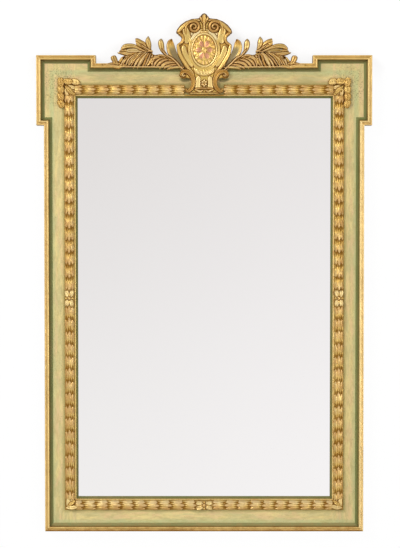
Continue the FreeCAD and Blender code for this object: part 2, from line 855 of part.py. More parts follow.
def boss():
    """The oval boss with its raised rim and domed field."""
    middle = frame_height + boss_height
    rings = []
    for reach, rise, domed in boss_ring_shares:
        level = body_front + rise * (boss_crown_rise if domed else boss_rim_rise)
        ring = []
        for spot in range(boss_spots):
            turn = 2 * math.pi * spot / boss_spots
            x = boss_half_width * reach * math.sin(turn)
            h = middle + boss_half_height * reach * math.cos(turn)
            ring.append((x, h, level))
        rings.append(ring)
    return dome_solid((0, middle, body_front + boss_crown_rise), rings, body_front)


save("crest_boss", boss())

# Batten that ties the crest to the top rail
brace_steps = [
    (-brace_width / 2, brace_low),
    (brace_width / 2, brace_low),
    (brace_width / 2, brace_high - brace_chamfer),
    (brace_width / 2 - brace_chamfer, brace_high),
    (-brace_width / 2 + brace_chamfer, brace_high),
    (-brace_width / 2, brace_high - brace_chamfer),
]
save("crest_brace", tidy(drilled(prism(brace_steps, 0, carcass_back), crest_nails)))
save("crest_nails", Part.makeCompound(crest_nails))

# Leaves of one spray, from root to tip, as shares of the spray's reach and height, with half-widths and rises
spray_leaf_shares = [
    ((-0.041, -0.06, 0.6, 0.9), (-0.005, 0.3, 0.9, 1), (0.036, 0.6, 0.9, 1), (0.072, 0.87, 0.25, 0.7)),
    ((0.127, 0.05, 0.7, 0.8), (0.203, 0.35, 0.8, 0.9), (0.241, 0.65, 0.75, 0.9), (0.241, 0.9, 0.25, 0.6)),
    ((0.335, 0.2, 0.6, 0.9), (0.397, 0.52, 0.75, 1), (0.428, 0.78, 0.75, 0.9), (0.426, 0.99, 0.3, 0.6)),
    ((0.376, 0.3, 0.6, 1), (0.473, 0.56, 0.8, 1.1), (0.55, 0.7, 0.95, 1), (0.602, 0.82, 0.4, 0.6)),
    (
        (0.403, 0.36, 0.6, 1.1), (0.542, 0.5, 0.6, 1.1), (0.668, 0.64, 0.75, 1), (0.751, 0.64, 0.7, 0.9),
        (0.8, 0.58, 0.3, 0.6),
    ),
    ((0.418, 0.3, 0.5, 1.1), (0.584, 0.33, 0.6, 1.1), (0.737, 0.4, 0.75, 1), (0.849, 0.39, 0.3, 0.6)),
    ((0.418, 0.2, 0.5, 1.1), (0.64, 0.14, 0.6, 1.1), (0.835, 0.19, 0.7, 0.9), (0.976, 0.27, 0.3, 0.6)),
    ((0.446, 0.1, 0.5, 1), (0.668, -0.02, 0.6, 1), (0.849, 0.02, 0.55, 0.8), (0.988, 0.09, 0.25, 0.5)),
]
rib_end_shares = ((0.849, -0.1), (0.766, -0.11), (0.668, -0.115), (0.571, -0.12), (0.488, -0.12), (0.403, -0.11))
strand_end_shares = ((0.071, -0.1), (0.196, -0.1), (0.307, -0.11))
spray_body_shares = [
    (-0.166, -0.176), (0.867, -0.176), (0.89, 0.1), (0.793, 0.28), (0.584, 0.3), (0.473, 0.42), (0.376, 0.42),
    (0.307, 0.26), (0.196, 0.3), (0.127, 0.24), (0.029, 0.3), (-0.082, 0.34),
]


def spray_point(x_share, h_share):
    """A point of the right spray from its shares."""
    return spray_root + spray_reach * x_share, frame_height + spray_height * h_share


def spray_leaf(shares, section, tilt):
    """One leaf or rib of the spray, at its own height so that its edge shows over the next."""
    path = []
    for x_share, h_share, half_share, rise_share in shares:
        x, h = spray_point(x_share, h_share)
        path.append((x, h, spray_leaf_half * half_share, spray_leaf_rise * (rise_share + tilt)))
    return ribbon(path, section, spray_back + spray_body, spray_back)


# Each leaf, rib and strand is tilted a little higher than the one before, so that its edge shows
leaf_tilt_share = 0.03
rib_tilt_share = 0.02
spray_eye_shares = (0.397, 0.36)
rib_sag_share = 0.03
rib_half_shares = (0.3, 0.42, 0.42)
rib_rise_shares = (1.0, 1.05, 0.8)
strand_start_shares = ((-0.082, 0.02), (0.071, 0.02))
strand_spread_shares = (0.06, 0.08, 0.1)
strand_half_shares = (0.3, 0.4, 0.4)
strand_rise_shares = (0.6, 0.8, 0.6)
leaves = []
for number, shares in enumerate(spray_leaf_shares):
    leaves.append(spray_leaf(shares, leaf_section_shares, leaf_tilt_share * (number % 3)))
for number, (x_share, h_share) in enumerate(rib_end_shares):
    middle = ((spray_eye_shares[0] + x_share) / 2, (spray_eye_shares[1] + h_share) / 2 + rib_sag_share)
    spots = (spray_eye_shares, middle, (x_share, h_share))
    shares = [(*spot, half, rise) for spot, half, rise in zip(spots, rib_half_shares, rib_rise_shares)]
    leaves.append(spray_leaf(shares, rib_section_shares, rib_tilt_share * (number % 2)))
for number, (x_share, h_share) in enumerate(strand_end_shares):
    rise_step = strand_spread_shares[0] * number
    fall_step = strand_spread_shares[2] * number
    spots = [(x, h + rise_step) for x, h in strand_start_shares]
    spots.append((x_share + strand_spread_shares[1], h_share + fall_step))
    shares = [(*spot, half, rise) for spot, half, rise in zip(spots, strand_half_shares, strand_rise_shares)]
    leaves.append(spray_leaf(shares, rib_section_shares, rib_tilt_share * number))
spray_block = prism([spray_point(*shares) for shares in spray_body_shares], spray_back, spray_back + spray_body)
spray = joined([spray_block] + leaves)
over_rim = slab(spray_foot, half_width, 0, frame_height, 0, deepest)
below_foot = slab(0, half_width, 0, frame_height - rim_width, 0, deepest)
spray = tidy(drilled(spray, [over_frame, over_rim, below_foot, cope]))
for side in ("left", "right"):
    save("crest_spray_" + side, on_side(spray, side))
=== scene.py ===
"""A carved, gilded and painted wall mirror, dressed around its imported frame.

Layout is in millimetres: x runs to the right, h is the height above the frame's bottom edge and p is how far
a point stands off the wall. Meshes are made in metres in the frame's own coordinates.
"""

import json
import math

import bpy
import numpy as np
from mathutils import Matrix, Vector

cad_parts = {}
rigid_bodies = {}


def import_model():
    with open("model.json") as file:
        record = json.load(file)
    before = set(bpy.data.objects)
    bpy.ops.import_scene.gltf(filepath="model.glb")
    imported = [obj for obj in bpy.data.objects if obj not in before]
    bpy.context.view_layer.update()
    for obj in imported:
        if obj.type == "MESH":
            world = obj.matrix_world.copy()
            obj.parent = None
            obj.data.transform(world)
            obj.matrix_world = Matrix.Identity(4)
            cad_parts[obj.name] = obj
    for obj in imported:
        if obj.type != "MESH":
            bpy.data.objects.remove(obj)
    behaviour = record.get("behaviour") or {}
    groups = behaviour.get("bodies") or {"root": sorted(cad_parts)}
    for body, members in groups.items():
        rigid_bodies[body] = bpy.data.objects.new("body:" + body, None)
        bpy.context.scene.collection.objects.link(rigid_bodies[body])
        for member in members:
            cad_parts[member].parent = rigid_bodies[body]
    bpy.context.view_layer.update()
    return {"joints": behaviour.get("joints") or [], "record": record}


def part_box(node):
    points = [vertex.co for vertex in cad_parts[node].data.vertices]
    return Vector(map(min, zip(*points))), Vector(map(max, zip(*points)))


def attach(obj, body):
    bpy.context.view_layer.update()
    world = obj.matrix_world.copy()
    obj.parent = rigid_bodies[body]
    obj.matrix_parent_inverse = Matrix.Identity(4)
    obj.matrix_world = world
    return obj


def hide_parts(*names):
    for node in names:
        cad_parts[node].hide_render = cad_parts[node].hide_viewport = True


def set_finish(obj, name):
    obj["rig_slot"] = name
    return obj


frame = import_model()

METRE = 0.001
LOW, HIGH = 0, 1
X, Y, Z = 0, 1, 2


def side_of(node, end, axis):
    """Where the low or high side of a solid's box is along an axis, in millimetres."""
    return round(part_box(node)[end][axis] / METRE, 2)


# Sizes that the solids have
HOOK_HEIGHT = -side_of("stile_right", LOW, Z)
HALF_WIDTH = side_of("stile_right", HIGH, X)
FRAME_HEIGHT = HOOK_HEIGHT + side_of("rail_top", HIGH, Z)
CARCASS_BACK = -side_of("rail_top", HIGH, Y)
FRIEZE = -side_of("rail_top", LOW, Y)
EAR_X = side_of("ear_side_right", HIGH, X)
EAR_TOP = HOOK_HEIGHT + side_of("ear_side_right", HIGH, Z)
EAR_FOOT = HOOK_HEIGHT + side_of("ear_side_right", LOW, Z)
EAR_END = side_of("ear_top_right", LOW, X)
SPRAY_BACK = -side_of("crest_spray_right", HIGH, Y)
LAUREL_X = side_of("laurel_right", HIGH, X)
LAUREL_LOW = HOOK_HEIGHT + side_of("laurel_right", LOW, Z)
LAUREL_HIGH = HOOK_HEIGHT + side_of("laurel_right", HIGH, Z)

# Where the runs stop under the crest, and the section of the laurel
SPRAY_FOOT = 201.0
COVE_END = 46.0
LAUREL_STOP = 45.0
TORUS_WIDTH = 22.5
TORUS_KICK = 0.5
TORUS_RISE = 9.0
SEAT_LENGTH = 40.0


def place(x, h, p):
    """Layout millimetres as a point in metres."""
    x, h, p = np.asarray(x), np.asarray(h), np.asarray(p)
    return np.stack([x * METRE, -p * METRE, (h - HOOK_HEIGHT) * METRE], axis=-1)


def make_piece(name, points, faces, slot, replaces=(), body="frame", masks=None, sharp=40.0):
    """A smooth-shaded mesh from points in metres and faces given as arrays of equal corners."""
    mesh = bpy.data.meshes.new(name)
    mesh.vertices.add(len(points))
    mesh.vertices.foreach_set("co", np.asarray(points, np.float32).ravel())
    faces = [np.asarray(group, np.int32) for group in faces if len(group)]
    corners = np.concatenate([group.ravel() for group in faces])
    sizes = np.concatenate([np.full(len(group), group.shape[1], np.int32) for group in faces])
    mesh.loops.add(len(corners))
    mesh.loops.foreach_set("vertex_index", corners)
    mesh.polygons.add(len(sizes))
    mesh.polygons.foreach_set("loop_start", np.concatenate([[0], np.cumsum(sizes)[:-1]]).astype(np.int32))
    mesh.polygons.foreach_set("use_smooth", np.ones(len(sizes), bool))
    mesh.update(calc_edges=True)
    mesh.validate()
    mesh.set_sharp_from_angle(angle=math.radians(sharp))
    for mask, values in (masks or {}).items():
        layer = mesh.attributes.new(mask, "FLOAT", "POINT")
        layer.data.foreach_set("value", np.asarray(values, np.float32))
    piece = bpy.data.objects.new(name, mesh)
    bpy.context.scene.collection.objects.link(piece)
    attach(piece, body)
    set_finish(piece, slot)
    if replaces:
        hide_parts(*replaces)
    return piece


def smooth_path(stations, count):
    """Rows of values on a smooth curve through the given stations."""
    rows = np.asarray(stations, float)
    rows = np.vstack([2 * rows[0] - rows[1], rows, 2 * rows[-1] - rows[-2]])
    spans = len(rows) - 3
    along = np.linspace(0, spans, count)
    spot = np.minimum(along.astype(int), spans - 1)
    t = (along - spot)[:, None]
    a, b, c, d = rows[spot], rows[spot + 1], rows[spot + 2], rows[spot + 3]
    return 0.5 * (2 * b + (c - a) * t + (2 * a - 5 * b + 4 * c - d) * t**2 + (3 * b - a - 3 * c + d) * t**3)


def step_between(value, low, high):
    """0 below low, 1 above high and a smooth ramp between."""
    t = np.clip((value - low) / (high - low), 0, 1)
    return t * t * (3 - 2 * t)


def soften(field, weight, reach):
    """A field blurred over so many cells, counting only where weight is."""
    widest = int(math.ceil(3 * reach))
    steps = np.arange(-widest, widest + 1)
    kernel = np.exp(-0.5 * (steps / reach) ** 2)
    for axis in (0, 1):
        total = np.zeros_like(field)
        mass = np.zeros_like(field)
        for step, share in zip(steps, kernel):
            total += share * np.roll(field * weight, step, axis)
            mass += share * np.roll(weight, step, axis)
        field = total / np.maximum(mass, 1e-9)
        weight = (mass > 1e-6).astype(float)
    return field


# Cross-sections of the carver's cuts, from -1 at one edge to 1 at the other, as shares of the cut's depth

def round_cut(a):
    """A half-round."""
    return np.sqrt(np.clip(1 - a * a, 0, 1))


def leaf_cut(a):
    """A full leaf with a groove along its middle."""
    return np.clip(1 - np.abs(a) ** 2.2, 0, 1) ** 0.6 * (1 - 0.3 * np.exp(-((a / 0.16) ** 2)))


def ridge_cut(a):
    """A sharp crest between two falling sides."""
    return np.clip(1 - np.abs(a) ** 1.3, 0, 1)


def gutter_cut(a):
    """A hollow between two raised edges."""
    rim = np.clip(1 - ((np.abs(a) - 0.78) / 0.22).clip(0, 1) ** 2, 0, 1) ** 0.5
    return rim * (0.3 + 0.7 * (np.abs(a) / 0.78).clip(0, 1) ** 2)


LIP = -0.45


def scoop_cut(a):
    """A raised lip along one edge, as far as LIP, and a scooped face beside it."""
    rim = np.clip(1 - ((np.abs(a) - 0.88) / 0.12).clip(0, 1) ** 2, 0, 1) ** 0.5
    crest = 1 - 0.3 * ((a - (LIP - 1) / 2) / ((LIP + 1) / 2)) ** 2
    into = ((a - LIP) / (1 - LIP)).clip(0, 1)
    return rim * np.where(a < LIP, crest, 0.72 - 0.5 * np.sin(np.pi * into))


CUTS = {"round": round_cut, "leaf": leaf_cut, "ridge": ridge_cut, "gutter": gutter_cut, "scoop": scoop_cut}
TINTS = ("pale", "silver", "olive", "brown")


PATH_STEP = 0.7
FEWEST_STEPS = 12
OUTSIDE = -1e3


def rounded_end(past):
    """The share of its width that a cut keeps. past is 0 where it starts to narrow and 1 at its end."""
    return np.sqrt(np.clip(1 - past.clip(0, 1) ** 2, 0.0004, 1))


class Carving:
    """A carved relief seen from the front: a grid of levels off the wall, worked one cut over another.

    Heights of cuts and outlines are given from the carving's base.
    """

    def __init__(self, x0, x1, h0, h1, step, base=0.0, tints=TINTS):
        """An empty grid over the given span, with step between its points."""
        self.step = step
        self.base = base
        self.xs = np.arange(x0, x1 + step, step)
        self.hs = np.arange(base + h0, base + h1 + step, step)
        self.x, self.h = np.meshgrid(self.xs, self.hs)
        self.level = np.zeros_like(self.x)
        self.inside = np.full_like(self.x, OUTSIDE)
        self.tints = {tint: np.zeros_like(self.x) for tint in tints}

    def ground(self, outline, level):
        """The body of the piece inside a closed outline."""
        corners = np.array(outline, float)
        corners[:, 1] += self.base
        gap = np.full_like(self.x, 1e9)
        within = np.zeros(self.x.shape, bool)
        for (x0, h0), (x1, h1) in zip(corners, np.roll(corners, -1, axis=0)):
            dx, dh = x1 - x0, h1 - h0
            t = ((self.x - x0) * dx + (self.h - h0) * dh) / max(dx * dx + dh * dh, 1e-9)
            t = np.clip(t, 0, 1)
            gap = np.minimum(gap, np.hypot(self.x - x0 - t * dx, self.h - h0 - t * dh))
            crossing = (h0 > self.h) != (h1 > self.h)
            with np.errstate(divide="ignore", invalid="ignore"):
                within ^= crossing & (self.x < x0 + dx * (self.h - h0) / dh)
        inside = np.where(within, gap, -gap)
        self.level = np.where(inside > self.inside, level, self.level)
        self.inside = np.maximum(self.inside, inside)

    def follow(self, part, middle, halves):
        """How the spots of a part lie to a path.

        Gives the step of the path beside each, its place across from -1 to 1, and how far inside it is.
        """
        x, h = self.x[part], self.h[part]
        tangent = np.gradient(middle, axis=0)
        pace = np.hypot(*tangent.T)
        tangent /= pace[:, None]
        nearest = np.argmin((x[..., None] - middle[:, 0]) ** 2 + (h[..., None] - middle[:, 1]) ** 2, axis=-1)
        dx, dh = x - middle[nearest, 0], h - middle[nearest, 1]
        ahead = dx * tangent[nearest, 0] + dh * tangent[nearest, 1]
        aside = tangent[nearest, 0] * dh - tangent[nearest, 1] * dx
        spot = nearest + ahead / pace[nearest]
        half = np.interp(spot, np.arange(len(middle)), halves)
        beyond = np.maximum(spot - (len(middle) - 1), -spot).clip(0) * pace[nearest]
        return spot, np.clip(aside / np.maximum(half, 1e-6), -1, 1), half - np.abs(aside) - beyond

    def cut(self, stations, shape, depth, tip=0.14, root=0.0, groove=1.6, reach=1.5, tints=None):
        """One leaf, rib or scroll. A station is x, height, half-width and level of the crown.

        tip and root are the shares of its length over which it narrows to an end. groove is how deep the line
        round it is and reach how wide.
        """
        stations = np.array(stations, float)
        stations[:, 1] += self.base
        length = np.hypot(*np.diff(stations[:, :2], axis=0).T).sum()
        count = max(FEWEST_STEPS, int(length / PATH_STEP))
        path = smooth_path(stations, count)
        middle, halves, crowns = path[:, :2], path[:, 2].clip(0.2), path[:, 3]
        share = np.linspace(0, 1, count)
        halves = halves * rounded_end((share - 1 + tip) / tip)
        if root:
            halves = halves * rounded_end((root - share) / root)
        margin = path[:, 2].max() + reach + 1
        columns = slice(*np.searchsorted(self.xs, [middle[:, 0].min() - margin, middle[:, 0].max() + margin]))
        rows = slice(*np.searchsorted(self.hs, [middle[:, 1].min() - margin, middle[:, 1].max() + margin]))
        part = (rows, columns)
        spot, a, inside = self.follow(part, middle, halves)
        crown = np.interp(spot, np.arange(count), crowns)
        level = crown - depth * (1 - CUTS[shape](a))
        before = self.level[part]
        shadow = groove * (1 + inside / reach).clip(0, 1)
        under = np.where(self.inside[part] > 0, before, OUTSIDE)
        over = np.maximum(level, under - 1.0)
        self.level[part] = np.where(inside > 0, over, before - np.where(inside > -reach, shadow, 0))
        self.inside[part] = np.maximum(self.inside[part], inside)
        face = 1.0
        if shape == "scoop":
            face = step_between(a, LIP, LIP + 0.2) * (1 - step_between(spot / count, 0.52, 0.8))
        for tint, field in self.tints.items():
            share = (tints or {}).get(tint, 0.0) * (face if tint in ("pale", "silver") else 1.0)
            field[part] = np.where(inside > 0, share, field[part])

    def cut_pair(self, stations, shape, depth, **settings):
        """The same cut to the right and to the left of the middle line."""
        self.cut(stations, shape, depth, **settings)
        self.cut([(-x, *rest) for x, *rest in stations], shape, depth, **settings)

    def deepen(self, tint, share):
        """Raises a tint to at least the given share."""
        self.tints[tint] = np.maximum(self.tints[tint], share)

    def wear_and_light(self, level, solid, outline, deep):
        """Dirt and painted shade where a spot lies low, and painted highlight and rubbing where it stands
        proud.
        """
        wide = soften(level, solid, 1.7 / self.step)
        near = soften(level, solid, 0.8 / self.step)
        hollow = np.clip((wide - level) / 1.3, 0, 1) + np.clip((near - level) / 0.55, 0, 1) * 0.6
        # Darker near the outline too, with dirt and painted shade where the carving meets its ground
        hollow = np.maximum(hollow, 0.75 * (1 - step_between(self.inside, 0.2, outline)))
        edge = np.clip((level - near) / 0.42, 0, 1) * 0.55 + np.clip((level - wide) / 1.5, 0, 1) * 0.4
        return hollow * deep, edge * deep**2

    def outline_faces(self, number, points, fields):
        """Triangles along the outline, and the pairs of points that its walls stand on.

        number gives each inner grid point its place among the points, to which the outline's own are added.
        """
        inner = number >= 0
        level, back, hollow, edge, *tints = fields
        crossings = {}

        def crossing(one, two):
            """The point where the outline passes between an inner and an outer grid point."""
            key = (one, two)
            if key not in crossings:
                t = np.clip(self.inside[one] / (self.inside[one] - self.inside[two]), 0.04, 0.96)
                x = self.x[one] + t * (self.x[two] - self.x[one])
                h = self.h[one] + t * (self.h[two] - self.h[one])
                crossings[key] = len(points)
                rest = [level[one], back[one], max(hollow[one], 0.3), edge[one] * 0.5]
                points.append(np.array([x, h] + rest + [tint[one] for tint in tints]))
            return crossings[key]

        triangles, rim = [], []
        some = inner[:-1, :-1] | inner[1:, :-1] | inner[:-1, 1:] | inner[1:, 1:]
        full = inner[:-1, :-1] & inner[1:, :-1] & inner[:-1, 1:] & inner[1:, 1:]
        for r, c in zip(*np.nonzero(some & ~full)):
            square = [(r, c), (r, c + 1), (r + 1, c + 1), (r + 1, c)]
            for trio in (square[:3], [square[0]] + square[2:]):
                loop, leaving, entering = [], [], []
                for here, after in zip(trio, trio[1:] + trio[:1]):
                    if inner[here]:
                        loop.append(number[here])
                    if inner[here] != inner[after]:
                        loop.append(crossing(here, after) if inner[here] else crossing(after, here))
                        (leaving if inner[here] else entering).append(loop[-1])
                triangles += [(loop[0], loop[k], loop[k + 1]) for k in range(1, len(loop) - 1)]
                rim.extend(zip(leaving, entering))
        return np.array(triangles).reshape(-1, 3), np.array(rim).reshape(-1, 2)

    def piece(self, name, back, replaces=(), mirror=False, floor=None, outline=1.4, deep=1.0):
        """The closed gilt mesh of the carving.

        back is the level of its rear face and floor the lowest level of its front. outline is how far in its
        edge is darkened with dirt and painted shade, and deep how strongly its hollows get dirt and painted
        shade and its crests painted highlight.
        """
        solid = (self.inside > 0).astype(float)
        level = soften(self.level, solid, 0.62)
        hollow, edge = self.wear_and_light(level, solid, outline, deep)
        tints = [soften(field, solid, 0.5 / self.step) for field in self.tints.values()]
        if floor is not None:
            level = np.maximum(level, floor)
        fields = [level, np.broadcast_to(back, level.shape), hollow, edge] + tints
        inner = self.inside > 0
        number = np.full(level.shape, -1)
        number[inner] = np.arange(inner.sum())
        points = list(np.stack([field[inner] for field in [self.x, self.h] + fields], axis=-1))
        r, c = np.nonzero(inner[:-1, :-1] & inner[1:, :-1] & inner[:-1, 1:] & inner[1:, 1:])
        quads = np.stack([number[r, c], number[r, c + 1], number[r + 1, c + 1], number[r + 1, c]], axis=-1)
        triangles, rim = self.outline_faces(number, points, fields)
        table = np.array(points)
        count = len(table)
        walls = np.stack([rim[:, 0], rim[:, 0] + count, rim[:, 1] + count, rim[:, 1]], axis=-1)
        side = -1 if mirror else 1
        x, h, front, rear, hollow, edge, *tints = table.T
        faces = [quads, triangles, walls, quads[:, ::-1] + count, triangles[:, ::-1] + count]
        if mirror:
            faces = [group[:, ::-1] for group in faces]
        masks = {"hollow": np.concatenate([hollow, np.full(count, 0.3)])}
        for mask, field in zip(["edge"] + list(self.tints), [edge] + tints):
            masks[mask] = np.concatenate([field, np.zeros(count)])
        corners = np.vstack([place(side * x, h, front), place(side * x, h, rear)])
        return make_piece(name, corners, faces, "gilding", replaces, masks=masks)


# Gilt rim moulding and its green cove, swept along each run of the eared outline

# Sections of the gilt part and of the cove: places in from the outer edge, and the level at each
BEAD_LINE = [
    (0.0, 27.0), (0.0, 35.2), (0.35, 35.8), (1.0, 36.0), (2.0, 35.95), (2.5, 35.6), (2.7, 34.4),
    (3.0, 33.6), (4.0, 33.35), (4.9, 33.6), (5.3, 34.6), (5.35, 36.0), (5.6, 37.2), (6.3, 38.3),
    (7.2, 38.85), (8.1, 39.0), (9.0, 38.85), (9.9, 38.3), (10.6, 37.3), (10.95, 36.0), (10.98, 35.0),
    (10.98, 27.0),
]
COVE_LINE = [
    (10.98, 27.0), (10.98, 34.5), (11.2, 33.4), (11.7, 31.9), (12.5, 30.4), (13.6, 29.2), (15.0, 28.3),
    (16.6, 27.85), (18.3, 27.65), (18.5, 27.45), (18.5, 27.0),
]
# Soil with painted shade, painted highlight, and brown across the moulding: places from its outer edge in,
# and the share at each
EVEN_LINES = (
    ([0, 2.2, 2.8, 4.0, 5.2, 5.8, 9.0, 10.4, 10.98, 11.3, 12.4, 17.5, 18.5],
     [0.05, 0.05, 0.2, 0.1, 0.3, 0.1, 0.1, 0.3, 0.75, 0.85, 0.45, 0.15, 0.5]),
    ([0, 0.5, 1.5, 2.4, 2.8, 5.6, 7.0, 8.4, 10.0, 11, 18.5],
     [0.6, 0.65, 0.6, 0.6, 0.2, 0.3, 0.5, 0.45, 0.1, 0, 0]),
    ([0, 2.4, 2.9, 5.2, 5.7, 9.4, 10.9], [0.3, 0.2, 0.3, 0.3, 0.5, 0.5, 0.5]),
)
# The bottom run has painted shade on its outer fillet, which faces down, and painted highlight on its groove
# and bead
BOTTOM_LINES = (
    ([0, 1.6, 2.6, 3.2, 5.0, 6.0, 9.0, 10.4, 10.98, 11.3, 12.4, 17.5, 18.5],
     [1.0, 0.9, 0.5, 0.15, 0.2, 0.5, 0.2, 0.4, 0.9, 1.0, 0.45, 0.15, 0.3]),
    ([0, 2.4, 3.0, 5.0, 6.0, 7.4, 9.0, 10.2], [0.0, 0.0, 0.6, 0.5, 0.1, 0.1, 0.8, 0.4]),
    ([0, 2.2, 3.0, 5.2, 5.9, 7.2, 9.4, 10.9], [0.5, 0.4, 0.1, 0.1, 0.5, 0.4, 0.0, 0.6]),
)
GREENER_COVE = ([14.0, 16.0, 17.5], [0, 0.4, 1])
EVEN_WEAR_AND_LIGHT = (0.0, 0.0, 0.0)
PALE_SHARE = 0.28
ROW_PITCH = 7
GREATEST_LEVEL = 41.5
# Unevenness of the hand: its lift and drift, the band that it moves, and the level above which it lifts
UNEVEN_LIFT, UNEVEN_DRIFT = 0.16, 0.12
UNEVEN_FROM, UNEVEN_TO = 0.2, 18.2
UNEVEN_ABOVE = 27.5


def ripple(along, seed):
    """A slow unevenness of a hand-worked run, about from -1 to 1."""
    draw = np.random.default_rng(seed)
    total = np.zeros_like(along)
    for wave in (190.0, 83.0, 37.0, 17.0):
        total += draw.uniform(0.3, 1.0) * np.sin(2 * np.pi * along / wave + draw.uniform(0, 6.3))
    return total / 3


def laid_out(start, end, inward):
    """Start, direction, inward direction and length of a run, and whether its faces turn the other way."""
    start, end, inward = np.array(start, float), np.array(end, float), np.array(inward, float)
    length = np.hypot(*(end - start))
    along = (end - start) / length
    return start, along, inward, length, along[0] * inward[1] - along[1] * inward[0] < 0


def tube_faces(rows, count, turned):
    """Faces of a closed line swept through rows, with its two ends."""
    first = (np.arange(rows - 1)[:, None] * count + np.arange(count)[None, :]).ravel()
    after = (np.arange(rows - 1)[:, None] * count + (np.arange(count)[None, :] + 1) % count).ravel()
    quads = np.stack([first, after, after + count, first + count], axis=-1)
    caps = [np.arange(count)[::-1][None, :], (np.arange(count) + (rows - 1) * count)[None, :]]
    if turned:
        quads = quads[:, ::-1]
        caps = [cap[:, ::-1] for cap in caps]
    return [quads] + caps


def moulding_run(name, slot, line, run, seed, replaces=(), wear_and_light=EVEN_WEAR_AND_LIGHT, lines=EVEN_LINES):
    """One run of a moulding along the face, with slightly uneven lines.

    A run is its start, its end, which way is inward, and how each end is mitred. Its wear setting is how much
    more painted highlight it gets, how much more it is darkened by soil and painted shade, and how far it is
    rubbed bright.
    """
    *ends, turns = run
    start, along, inward, length, turned = laid_out(*ends)
    line = np.array(line)
    rows = max(3, int(length / ROW_PITCH))
    u, level = line[:, 0], line[:, 1]
    share = np.linspace(0, 1, rows)[:, None]
    low = turns[0] * u
    high = length + turns[1] * u
    s = low + (high - low) * share
    fade = np.sin(np.pi * share.clip(0.02, 0.98)) ** 0.3
    free = (u > UNEVEN_FROM) * (u < UNEVEN_TO)
    lift = UNEVEN_LIFT * ripple(s, seed) * free * (level > UNEVEN_ABOVE) * fade
    drift = UNEVEN_DRIFT * ripple(s + 500, seed + 7) * free * fade
    x = start[0] + along[0] * s + inward[0] * (u + drift)
    h = start[1] + along[1] * s + inward[1] * (u + drift)
    points = place(x, h, np.minimum(level + lift, GREATEST_LEVEL)).reshape(-1, 3)
    # Across the section: soil with painted shade, painted highlight, and brown
    hollow, edge, brown = (np.interp(u, *pair) for pair in lines)
    shine, soil_and_shade, rubbed = wear_and_light
    masks = {
        "hollow": np.tile((hollow + soil_and_shade).clip(0, 1), rows),
        "edge": np.tile((edge + shine).clip(0, 1), rows),
        "brown": np.tile(brown, rows),
        "inner": np.tile(np.interp(u, *GREENER_COVE), rows),
        "ring": np.full(len(u) * rows, rubbed),
        "pale": np.full(len(u) * rows, PALE_SHARE * rubbed),
    }
    faces = tube_faces(rows, len(line), turned)
    return make_piece(name, points, faces, slot, replaces, masks=masks, sharp=50.0)


# Runs of the right side, each with its wear and painted light where that isn't the side's own: painted
# highlight, soil with painted shade, and rubbing
RIM_RUNS = [
    ("rim_side", (HALF_WIDTH, 0), (HALF_WIDTH, EAR_FOOT), (-1, 0), (1, 1), None),
    ("rim_ear_under", (HALF_WIDTH, EAR_FOOT), (EAR_X, EAR_FOOT), (0, 1), (-1, -1), (0.0, 0.05, 0.4)),
    ("rim_ear_side", (EAR_X, EAR_FOOT), (EAR_X, EAR_TOP), (-1, 0), (1, -1), (-0.05, 0.05, 0.5)),
    ("rim_ear_top", (EAR_X, EAR_TOP), (EAR_END, EAR_TOP), (0, -1), (1, -1), (-0.35, 0.12, 0.2)),
    ("rim_ear_inner", (EAR_END, EAR_TOP), (EAR_END, FRAME_HEIGHT), (1, 0), (1, 1), (-0.1, 0.05, 0.3)),
]
# The right side is rubbed more than the left, and gets more painted highlight and less darkening
SIDE_WEAR_AND_LIGHT = {"right": (0.2, -0.15, 0.85), "left": (0.0, 0.05, 0.45)}
# The top runs get less painted highlight and more soil with painted shade
TOP_WEAR_AND_LIGHT = {"right": (-0.4, 0.1, 0.2), "left": (-0.1, 0.1, 0.2)}
# The coves under the top runs get more soil with painted shade; the bottom cove gets painted highlight
COVE_WEAR_AND_LIGHT = {"rim_ear_top": (0.0, 0.3, 0.0), "rim_top": (0.0, 0.35, 0.0), "rim_bottom": (0.65, -0.1, 0.0)}
FIRST_RIM_SEED, RIM_SEED_STEP, COVE_SEED_STEP = 11, 17, 3


def rim_pair(name, side, gilt_run, cove_run, seed, wear_and_light=EVEN_WEAR_AND_LIGHT, lines=EVEN_LINES):
    """The gilt length of one run of the rim, which replaces the solid, and its green cove."""
    node = f"{name}_{side}" if side else name
    moulding_run(node + "_gilt", "gilding", BEAD_LINE, gilt_run, seed, [node], wear_and_light, lines)
    cove_wear_and_light = COVE_WEAR_AND_LIGHT.get(name, EVEN_WEAR_AND_LIGHT)
    moulding_run(node + "_cove", "green_paint", COVE_LINE, cove_run, seed + COVE_SEED_STEP, wear_and_light=cove_wear_and_light)


def build_rim():
    """The gilt and green lengths of the rim, a pair for each run."""
    seed = FIRST_RIM_SEED
    for side, sign in (("right", 1), ("left", -1)):
        for name, *ends, turns, wear_and_light in RIM_RUNS:
            run = [(x * sign, h) for x, h in ends] + [turns]
            rim_pair(name, side, run, run, seed, wear_and_light or SIDE_WEAR_AND_LIGHT[side])
            seed += RIM_SEED_STEP
        runs = [[(EAR_END * sign, FRAME_HEIGHT), (end * sign, FRAME_HEIGHT), (0, -1), (-1, 0)]
                for end in (SPRAY_FOOT, COVE_END)]
        rim_pair("rim_top", side, *runs, seed, TOP_WEAR_AND_LIGHT[side])
        seed += RIM_SEED_STEP
    run = [(HALF_WIDTH, 0), (-HALF_WIDTH, 0), (0, 1), (1, -1)]
    rim_pair("rim_bottom", "", run, run, seed, lines=BOTTOM_LINES)


build_rim()


# Laurel moulding: bundles of ribbed leaves that lap over one another from the corners on

LEAF_PITCH = 29.2
CORNER_RUN = 12.0
FAN = 38
ROW_STEP = 0.7
SEAT_ROWS = 26
MITRE_FADE = 40.0
MOTTLE_PITCH = 15
FILLET_FOOT, FILLET_END = 22.6, 26.0
# Heights over which the laurel's extra painted highlight low on the frame fades out
SHINE_HEIGHTS = (430, 720)
